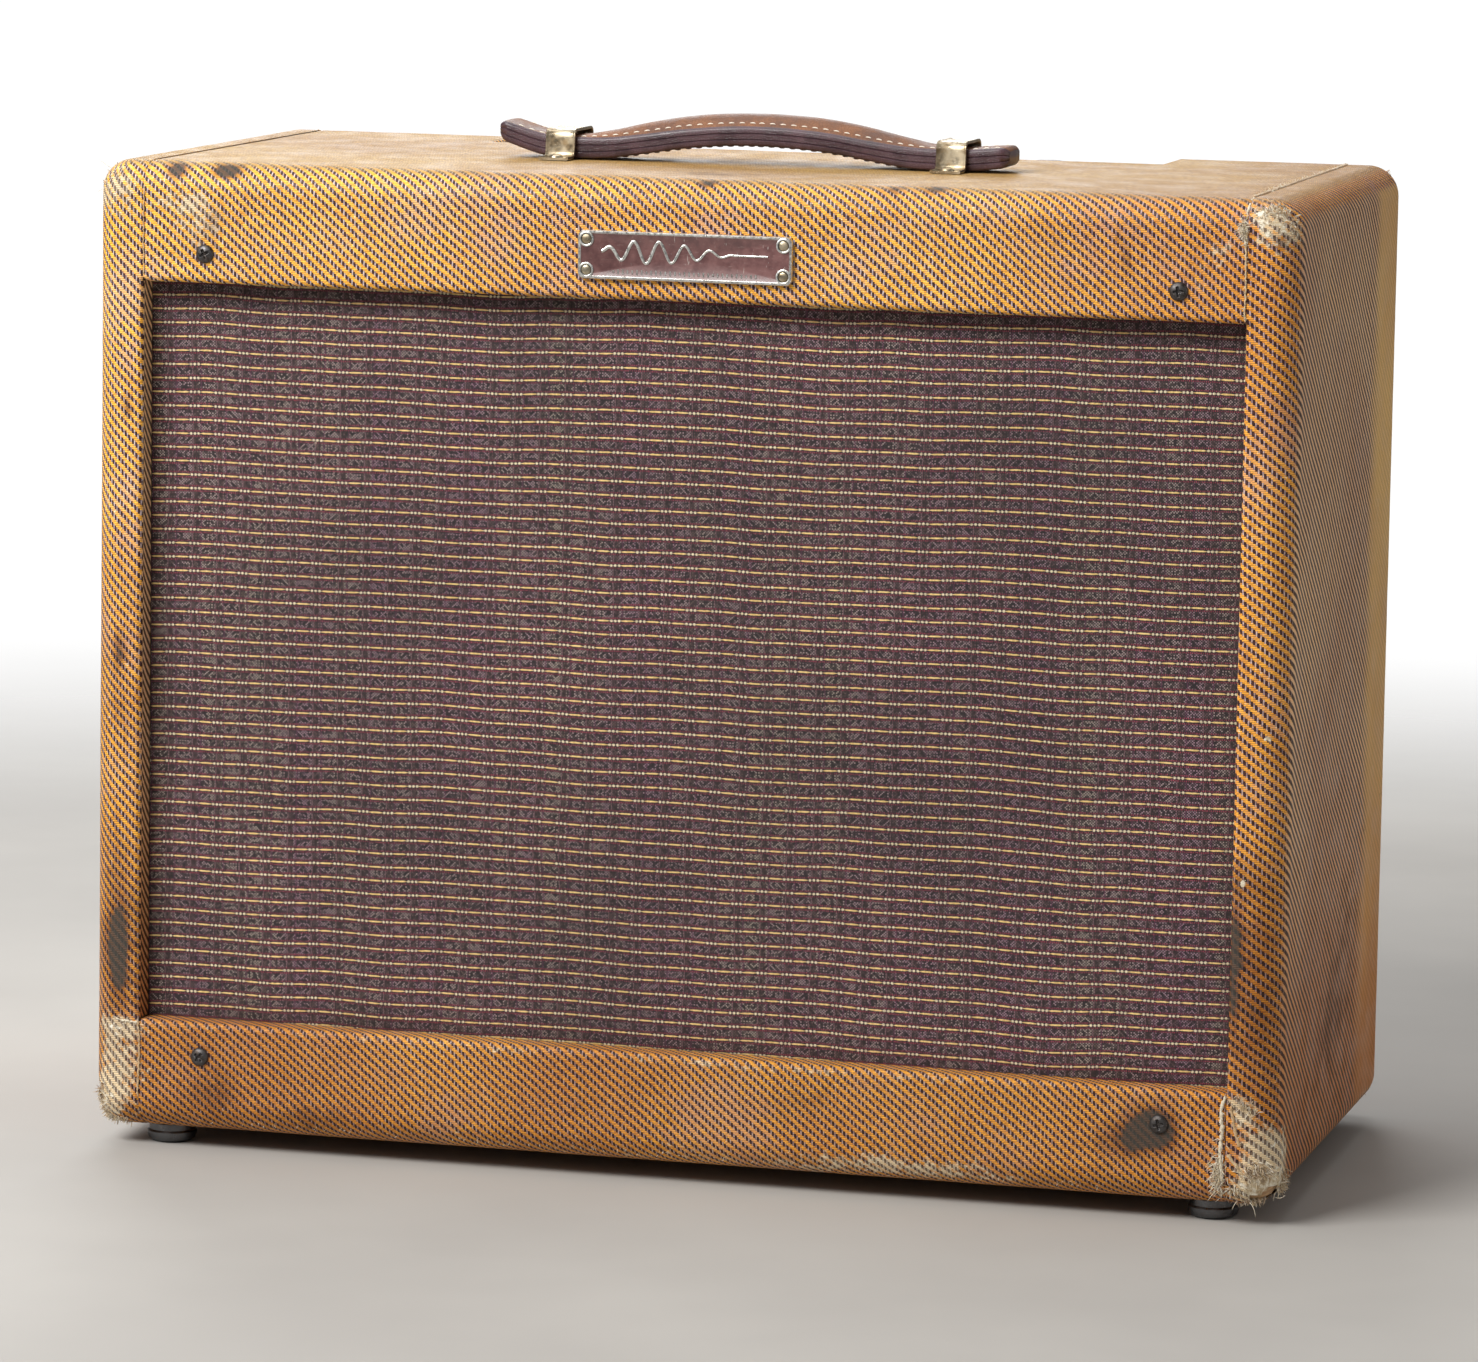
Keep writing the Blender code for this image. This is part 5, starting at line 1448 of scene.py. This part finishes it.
def knob(node, x, body):
    """A moulded pointer knob with a skirt, hollowed flanks and a white pointer line."""
    b = Build()
    low = PANEL_Z + 3.0
    skirt = [
        (3.1, low), (9.2, low), (9.6, low + 0.4), (9.55, low + 2.6), (9.1, low + 3.9), (8.4, low + 4.5),
        (5.0, low + 4.9), (0.0, low + 5.0)
    ]
    lathe(
        b, skirt, (x, CONTROL_Y, 0), "Z", 64, 0, flute=lambda a, r,
        h: r - (0.18 if r > 8 and h < low + 4 else 0.0) * (1 + math.cos(a * 32)) / 2
    )
    half = [
        (16.2, 0.0), (16.05, 0.6), (15.4, 1.2), (12.0, 2.3), (8.0, 3.7), (4.5, 5.6), (1.5, 6.9), (-2.0, 7.3),
        (-5.5, 6.6), (-8.4, 4.6), (-9.8, 2.2), (-10.2, 0.0)
    ]
    loop = half + [(a, -c) for a, c in reversed(half[1:-1])]
    rings = []
    for z, shrink in ((low + 4.2, 0.0), (low + 12.6, 0.35), (low + 14.6, 0.6), (low + 15.3, 1.0), (low + 15.55, 1.8)):
        ring = []
        for a, c in loop:
            f = 1 - shrink / 9.5
            pinch = 1 - 0.16 * math.sin(math.pi * min(max((z - low - 4) / 10, 0), 1)) * (1 if a < 12 else 0)
            ring.append((x + c * f * pinch, CONTROL_Y - (a * f if a < 0 else a - shrink * 0.9 * (a / 16.2)), z))
        rings += ring
    faces = grid_faces(5, len(loop), close=True) + [tuple(range(4 * len(loop), 5 * len(loop)))]
    b.add(rings, faces, 0)
    sweep(
        b, [(x, CONTROL_Y - 14.4, low + 15.5), (x, CONTROL_Y - 9, low + 15.58), (x, CONTROL_Y - 3, low + 15.58)],
        [(0.5, -0.1), (0.5, 0.08), (-0.5, 0.08), (-0.5, -0.1)], 1
    )
    lathe(b, [(3.05, low), (3.05, PANEL_Z - 11.5), (0.0, PANEL_Z - 11.5)], (x, CONTROL_Y, 0), "Z", 24, 2)
    obj = b.make("pointer_" + node, [M["knob"], M["stitch"], M["pot"]], angle=42)
    claim(obj, body, "knob_plastic", node)


def text_faces(text, size, centre, z):
    """Digits as flat faces."""
    curve = bpy.data.curves.new("digits", "FONT")
    curve.body, curve.size, curve.align_x, curve.align_y = text, size, "CENTER", "CENTER"
    obj = bpy.data.objects.new("digits", curve)
    bpy.context.scene.collection.objects.link(obj)
    mesh = obj.evaluated_get(bpy.context.evaluated_depsgraph_get()).to_mesh()
    verts = [(centre[0] - v.co.x, centre[1] - v.co.y, z) for v in mesh.vertices]
    faces = [tuple(p.vertices) for p in mesh.polygons]
    bpy.data.objects.remove(obj)
    bpy.data.curves.remove(curve)
    return verts, faces


def panel_marks():
    b = Build()
    for x, _ in KNOBS.values():
        for k in range(12):
            turn = math.radians(-150 + 300 * k / 11)
            # at rest the pointer faces the front; the dial is read from behind
            sx, sy = math.sin(turn), -math.cos(turn)
            inner, outer = 11.2, 12.8
            a = np.array((x + sx * inner, CONTROL_Y + sy * inner, PANEL_Z + 0.1))
            e = np.array((x + sx * outer, CONTROL_Y + sy * outer, PANEL_Z + 0.1))
            sweep(b, [a, e], [(0.22, -0.1), (0.22, 0.06), (-0.22, 0.06), (-0.22, -0.1)])
            verts, faces = text_faces(str(k + 1), 3.0, (x + sx * 15.0, CONTROL_Y + sy * 15.0), PANEL_Z + 0.12)
            b.add(verts, faces)
    for y in (CONTROL_Y - 18.2, CONTROL_Y + 18.2):
        sweep(
            b, [(NOTCH_LOW + 4, y, PANEL_Z + 0.1), (NOTCH_HIGH - 4, y, PANEL_Z + 0.1)],
            [(0.2, -0.1), (0.2, 0.05), (-0.2, 0.05), (-0.2, -0.1)]
        )
    single(b, "panel_scale", [M["fuse"]], "cabinet", "panel_chrome", smooth=False)


def hexagon(b, centre, radius, low, high, turn=0.0):
    """A nut with a chamfered top."""
    def ring(r, z):
        turns = [turn + k * math.pi / 3 for k in range(6)]
        return [(centre[0] + r * math.cos(a), centre[1] + r * math.sin(a), z) for a in turns]

    chamfer = radius - 0.45
    b.add(ring(radius, low) + ring(radius, high - 0.3) + ring(chamfer, high), grid_faces(3, 6, close=True))
    b.add(ring(chamfer, high) + ring(4.2, high), [(k, (k + 1) % 6, 6 + (k + 1) % 6, 6 + k) for k in range(6)])


def controls():
    for k, (node, (x, body)) in enumerate(KNOBS.items()):
        knob(node, x, body)
        b = Build()
        hexagon(b, (x, CONTROL_Y), 6.4, PANEL_Z + 0.6, PANEL_Z + 2.4, turn=0.2 + k)
        lathe(
            b, [(7.6, PANEL_Z + 0.1), (7.6, PANEL_Z + 0.5), (7.3, PANEL_Z + 0.7), (4.4, PANEL_Z + 0.7)],
            (x, CONTROL_Y, 0), "Z", 40
        )
        single(b, "nut_" + node, [M["pot"]], "cabinet", "pot_metal", smooth=False)
    for k, x in enumerate((-14.0, -46.0, -78.0, -110.0)):
        b = Build()
        hexagon(b, (x, CONTROL_Y), 7.4, PANEL_Z + 0.8, PANEL_Z + 2.8, turn=0.4 * k)
        lathe(
            b, [(8.2, PANEL_Z + 0.1), (8.2, PANEL_Z + 0.6), (7.9, PANEL_Z + 0.8), (4.8, PANEL_Z + 0.8)],
            (x, CONTROL_Y, 0), "Z", 40
        )
        lathe(
            b,
            [
                (4.75, PANEL_Z + 2.7), (4.75, PANEL_Z + 3.5), (4.4, PANEL_Z + 3.75), (3.4, PANEL_Z + 3.75),
                (3.2, PANEL_Z + 3.4), (3.2, PANEL_Z + 2.0)
            ],
            (x, CONTROL_Y, 0), "Z", 40
        )
        # the lathe closes its ends, and a jack stays open
        b.faces = [f for f in b.faces if len(f) < 12]
        b.slots = b.slots[: len(b.faces)]
        single(b, f"nut_jack_{k + 1}", [M["chrome"]], "cabinet", "jack_metal", smooth=False)
    b = Build()
    x, z = 130.0, PANEL_Z
    lathe(
        b,
        [
            (8.3, z + 0.1), (8.3, z + 1.2), (7.9, z + 2.2), (7.3, z + 2.7), (6.7, z + 2.9), (6.5, z + 3.3),
            (6.3, z + 3.0)
        ],
        (x, CONTROL_Y, 0), "Z", 48, 0
    )
    lathe(
        b,
        [
            (6.3, z + 2.6), (6.4, z + 6.5), (6.0, z + 8.4), (4.9, z + 10.0), (3.2, z + 11.3), (1.5, z + 11.9),
            (0.0, z + 12.0)
        ],
        (x, CONTROL_Y, 0), "Z", 12, 1
    )
    lathe(b, [(7.4, z - 0.1), (7.4, z - 26), (0.0, z - 26)], (x, CONTROL_Y, 0), "Z", 32, 0)
    single(b, "jewel_lamp", [M["chrome"], M["red"]], "cabinet", "pilot_red", "pilot_lamp", angle=12)
    b = Build()
    x = 147.5
    lathe(
        b,
        [
            (0.0, z + 10.5), (3.9, z + 10.5), (4.7, z + 10.1), (5.2, z + 9.4), (5.4, z + 3.6), (5.1, z + 3.4),
            (2.6, z + 3.4), (2.6, z - 20), (0.0, z - 20)
        ],
        (x, CONTROL_Y, 0), "Z", 96, 0, flute=lambda a, r, h: r - (0.28 if r > 5.15 else 0) * (1 + math.cos(a * 24)) / 2
    )
    for sx in (-1, 1):
        sweep(
            b, [(x + sx * 0.6, CONTROL_Y, z + 10.56), (x + sx * 4.4, CONTROL_Y, z + 10.5)],
            [(0.35, -0.1), (0.35, 0.1), (-0.35, 0.1), (-0.35, -0.1)], 1
        )
    single(b, "knurled_fuse_cap", [M["fuse"], M["stitch"]], "fuse_cap", "fuse_plastic", "fuse_cap", angle=40)


controls()
panel_marks()


# ---------------------------------------------------------------- valves, speaker and its lead


def glassware(name):
    g = Graph(name, colour=(0.95, 0.97, 0.96), roughness=0.03, transmission_weight=0.95, ior=1.45)
    haze = g.noise(g.place(), 140.0, 4.0)
    g.put("Roughness", g.step(haze, 0.4, 0.75, 0.02, 0.12))
    return g.material


M["glass"] = glassware("valve_glass")
M["getter"] = metal("getter_silver", (0.55, 0.55, 0.56), 0.12, (0.4, 0.36, 0.34), 0.5, 120.0)
M["plate"] = plain("anode_grey", (0.13, 0.13, 0.135), (0.07, 0.07, 0.075), 0.5, 150.0)
M["mica"] = plain("mica", (0.55, 0.50, 0.42), (0.42, 0.38, 0.32), 0.4, 200.0)


def valve(node, base_r, base_len):
    """A glass bulb over its electrodes, hanging from its socket."""
    c, low, high = middle(node)
    top, tip, x, y = high[2], low[2], c[0], c[1]
    bulb = (high[0] - low[0]) / 2 if base_len < 10 else 15.0
    b = Build()
    lathe(
        b,
        [
            (0.0, top), (base_r - 0.5, top), (base_r, top - 0.6), (base_r, top - base_len + 1),
            (base_r - 0.6, top - base_len), (0.0, top - base_len)
        ],
        (x, y, 0), "Z", 40, 1
    )
    start = top - base_len
    shape = [
        (bulb - 1.2, start + 0.1), (bulb - 0.3, start - 1.5), (bulb, start - 4), (bulb, tip + bulb * 0.85),
        (bulb * 0.97, tip + bulb * 0.6), (bulb * 0.85, tip + bulb * 0.34), (bulb * 0.62, tip + bulb * 0.15),
        (bulb * 0.3, tip + 0.9), (bulb * 0.12, tip + 0.5), (0.0, tip)
    ]
    lathe(b, shape, (x, y, 0), "Z", 48, 0)
    inner = [
        (bulb * 0.86, tip + bulb * 0.62), (bulb * 0.74, tip + bulb * 0.38), (bulb * 0.5, tip + bulb * 0.22),
        (0.0, tip + bulb * 0.14)
    ]
    lathe(b, [(r, h + 0.5) for r, h in inner], (x, y, 0), "Z", 32, 2)
    span = start - tip
    a, e = tip + span * 0.34, start - span * 0.14
    for z in (a, e):
        lathe(b, [(0.0, z + 0.35), (bulb * 0.82, z + 0.35), (bulb * 0.82, z), (0.0, z)], (x, y, 0), "Z", 24, 4)
    lathe(
        b, [(0.0, a), (bulb * 0.56, a + 0.4), (bulb * 0.56, e - 0.4), (0.0, e)], (x, y, 0), "Z", 12, 3, flute=lambda t,
        r, h: r * (1 + 0.22 * math.cos(2 * t))
    )
    for k in range(4):
        t = k * math.pi / 2 + 0.4
        p = (x + bulb * 0.66 * math.cos(t), y + bulb * 0.66 * math.sin(t))
        sweep(b, [(*p, a), (*p, start - 1)], ring_section(0.5, 6), 2, up=(0, 1, 0))
    single(
        b, "glass_" + node, [M["glass"], M["fuse"], M["getter"], M["plate"], M["mica"]], "cabinet", "valve_glass", node,
        angle=40
    )


for node, base_r, base_len in (
    ("rectifier_valve", 16.5, 26.0), ("power_valve_1", 16.5, 26.0), ("power_valve_2", 16.5, 26.0),
    ("preamp_valve_1", 10.0, 4.0), ("preamp_valve_2", 10.0, 4.0)
):
    valve(node, base_r, base_len)

SPEAKER_Z, FACE = 208.0, -99.3


BLOCK_FACES = [(0, 1, 2, 3), (7, 6, 5, 4), (0, 4, 5, 1), (1, 5, 6, 2), (2, 6, 7, 3), (3, 7, 4, 0)]


def block(b, xs, ys, zs, slot):
    corners = ((xs[0], zs[0]), (xs[1], zs[0]), (xs[1], zs[1]), (xs[0], zs[1]))
    b.add([(x, y, z) for y in ys for x, z in corners], BLOCK_FACES, slot)


def ripple(f):
    """The cone's pressed rings, at a share f of the way out."""
    return (0.35 * math.sin(f * math.pi * 14) if 0.35 < f < 0.95 else 0.0) * 0.6


def speaker():
    rim, back = FACE + 4.6, FACE + 56.3
    b = Build()
    cone = [(0.0, rim + 31), (7, rim + 31.5), (14, rim + 33), (20, rim + 35.6), (24, rim + 38)]
    cone += [(24 + 104 * f, rim + 38 * (1 - f) ** 0.92 + ripple(f)) for f in (k / 40 for k in range(1, 41))]
    cone += [(128, rim + 0.8)]
    cone += [
        (25 + 103 * f, rim + 0.9 + 39.5 * (1 - f) ** 0.92 + ripple(f)) for f in (k / 40 for k in range(39, -1, -1))
    ]
    cone += [
        (19.8, rim + 44), (19.8, back + 12), (19.2, back + 12), (19.2, rim + 40), (13, rim + 34.2), (0.0, rim + 31.8)
    ]
    lathe(b, cone, (0, 0, SPEAKER_Z), "Y", 96, 0)
    obj = b.make("paper_cone", [M["cone"]], angle=50)
    claim(obj, "cone", "cone_paper", "speaker_cone")
    b = Build()
    magnet = [
        (0.0, back), (18.0, back), (18.0, back + 16), (21.0, back + 16), (21.0, back), (47.2, back), (48.0, back + 0.8),
        (48.0, back + 7.2), (47.2, back + 8.0), (39.5, back + 8.4), (38.4, back + 9.4), (38.0, back + 11),
        (38.0, back + 56), (37.2, back + 59.5), (34.5, back + 64), (31, back + 66.4), (26, back + 67.6),
        (6.0, back + 68), (0.0, back + 68)
    ]
    lathe(b, magnet, (0, 0, SPEAKER_Z), "Y", 80, 0)
    for k in range(4):
        t = math.pi / 4 + k * math.pi / 2
        lathe(
            b, [(2.9, 0.0), (2.9, 1.0), (2.2, 1.9), (0.0, 2.3)],
            (43.2 * math.cos(t), back + 8.1, SPEAKER_Z + 43.2 * math.sin(t)), "Y", 20, 1
        )
    block(b, (-12, 12), (back + 20, back + 34), (SPEAKER_Z + 36, SPEAKER_Z + 43.6), 2)
    for x in (-7, 0, 7):
        block(b, (x - 1.6, x + 1.6), (back + 24, back + 30), (SPEAKER_Z + 43.5, SPEAKER_Z + 44.0), 1)
    obj = b.make("speaker_pot", [M["magnet"], M["steel"], M["board"]], angle=35)
    claim(obj, "cabinet", "magnet_paint", "speaker_magnet")


speaker()


def lead():
    y = FACE + 83.3
    stops = [
        (-57, 71.2, 308), (-57, 62, 306), (-54, 52, 299), (-47, 40, 289), (-37, 26, 279), (-25, 10, 271),
        (-14, -3, 266.5), (-6, y + 3, 263), (-3, y, 258.5), (-3, y, 252.8)
    ]
    stops = [np.array(p, float) for p in stops]
    path = []
    for k in range(len(stops) - 1):
        p0, p1, p2, p3 = stops[max(k - 1, 0)], stops[k], stops[k + 1], stops[min(k + 2, len(stops) - 1)]
        for q in range(8):
            t = q / 8
            path.append(
                0.5
                * (
                    2 * p1 + (p2 - p0) * t + (2 * p0 - 5 * p1 + 4 * p2 - p3) * t * t
                    + (3 * p1 - p0 - 3 * p2 + p3) * t**3
                )
            )
    path.append(stops[-1])
    verts, n, travel = [], 20, 0.0
    for k, p in enumerate(path):
        t = unit(path[min(k + 1, len(path) - 1)] - path[max(k - 1, 0)])
        side = unit(np.cross(t, (0.3, 0.2, 0.9)))
        lift = np.cross(side, t)
        if k:
            travel += float(np.linalg.norm(p - path[k - 1]))
        for q in range(n):
            a = 2 * math.pi * q / n
            r = 1.35 + 0.33 * math.cos(2 * (a - travel * 0.55))
            verts.append(tuple(p + side * r * math.cos(a) + lift * r * math.sin(a)))
    last = (len(path) - 1) * n
    b = Build()
    b.add(verts, grid_faces(len(path), n, close=True) + [tuple(range(n - 1, -1, -1)), tuple(range(last, last + n))])
    obj = b.make("speaker_cable", [M["lead"]])
    claim(obj, "cabinet", "lead_cloth", "speaker_lead")


lead()

# ---------------------------------------------------------------- finishes of the carried-over solids

FINISHES = {
    "pine": [
        "top_board", "bottom_board", "left_side_board", "right_side_board", "front_top_rail", "front_bottom_rail",
        "left_back_cleat", "right_back_cleat"
    ],
    "ply": ["baffle_board"], "chrome": ["chassis", "input_jack_1", "input_jack_2", "input_jack_3", "input_jack_4"],
    "pot": ["tone_pot", "volume_pot_1", "volume_pot_2"], "fuse": ["fuse_holder"],
    "iron": ["power_transformer", "output_transformer"], "board": ["circuit_board"], "frame_paint": ["speaker_frame"],
    "cone": ["speaker_surround"],
}
for finish, names in FINISHES.items():
    for node in names:
        obj = NODES[node]
        if not obj.material_slots:
            obj.data.materials.append(M[finish])
        for slot in obj.material_slots:
            slot.material = M[finish]

# ---------------------------------------------------------------- camera, light, floor


IMAGE_WIDE = 1478


def camera():
    yaw, pitch, roll = (math.radians(a) for a in (14.969, 6.925, 0.934))
    forward = Vector((-math.sin(yaw) * math.cos(pitch), math.cos(yaw) * math.cos(pitch), -math.sin(pitch)))
    right = Vector((math.cos(yaw), math.sin(yaw), 0))
    up = right.cross(forward)
    side = right * math.cos(roll) + up * math.sin(roll)
    top = -right * math.sin(roll) + up * math.cos(roll)
    data = bpy.data.cameras.new("photo_camera")
    data.sensor_width = 36.0
    data.lens = 36.0 * 6881.1 / IMAGE_WIDE
    data.shift_y = -148 / IMAGE_WIDE
    data.clip_end = 50
    obj = bpy.data.objects.new("photo_camera", data)
    m = Matrix((side, top, -forward)).transposed().to_4x4()
    m.translation = Vector((743.7, -2807.1, 610.7)) * MM
    obj.matrix_world = m
    bpy.context.scene.collection.objects.link(obj)
    bpy.context.scene.camera = obj


def area_light(name, place, target, size, watts, colour=(1, 1, 1)):
    data = bpy.data.lights.new(name, "AREA")
    data.shape = "RECTANGLE"
    data.size, data.size_y = size
    data.energy = watts
    data.color = colour
    obj = bpy.data.objects.new(name, data)
    obj.location = place
    obj.rotation_euler = (Vector(target) - Vector(place)).to_track_quat("-Z", "Y").to_euler()
    bpy.context.scene.collection.objects.link(obj)


def stage():
    world = bpy.data.worlds.new("studio")
    world.use_nodes = True
    tree = world.node_tree
    background = tree.nodes["Background"]
    background.inputs[0].default_value = (1.0, 1.0, 1.0, 1)
    path = tree.nodes.new("ShaderNodeLightPath")
    strength = tree.nodes.new("ShaderNodeMapRange")
    strength.inputs[3].default_value = 0.22
    strength.inputs[4].default_value = 1.05
    tree.links.new(path.outputs["Is Camera Ray"], strength.inputs[0])
    tree.links.new(strength.outputs[0], background.inputs[1])
    bpy.context.scene.world = world
    g = Graph("pale_floor", colour=(0.62, 0.60, 0.57), roughness=0.7)
    place = g.place()
    cloud = g.noise(place, 3.0, 4.0)
    g.put("Base Color", g.mix(g.step(cloud, 0.3, 0.7), (0.40, 0.385, 0.365), (0.46, 0.445, 0.42)))
    reach = g.node("ShaderNodeVectorMath", operation="LENGTH")
    g.tree.links.new(place, reach.inputs[0])
    fade = g.step(reach.outputs["Value"], 0.75, 1.75)
    clear = g.node("ShaderNodeBsdfTransparent")
    blend = g.node("ShaderNodeMixShader")
    g.tree.links.new(fade, blend.inputs[0])
    g.tree.links.new(g.shader.outputs[0], blend.inputs[1])
    g.tree.links.new(clear.outputs[0], blend.inputs[2])
    g.tree.links.new(blend.outputs[0], g.tree.nodes["Material Output"].inputs[0])
    b = Build()
    edge = spaced(-1800, 1800, 450)
    b.add([(x, y, 0.0) for y in edge for x in edge], grid_faces(len(edge), len(edge)))
    floor = b.make("floor", [g.material])
    area_light("key", (-1.0, -1.5, 1.75), (-0.05, 0, 0.3), (1.3, 0.9), 66, (1.0, 0.985, 0.96))
    area_light("top", (-0.2, 0.3, 1.9), (0, 0, 0.3), (1.6, 1.0), 13)
    area_light("rear", (-0.9, 2.0, 1.3), (0, 0, 0.25), (1.6, 1.0), 22)
    area_light("side", (2.1, -0.1, 0.7), (0.25, 0, 0.22), (1.2, 0.9), 4.5, (1.0, 0.96, 0.9))
    scene = bpy.context.scene
    scene.view_settings.view_transform = "Standard"
    scene.view_settings.look = "None"


camera()
stage()
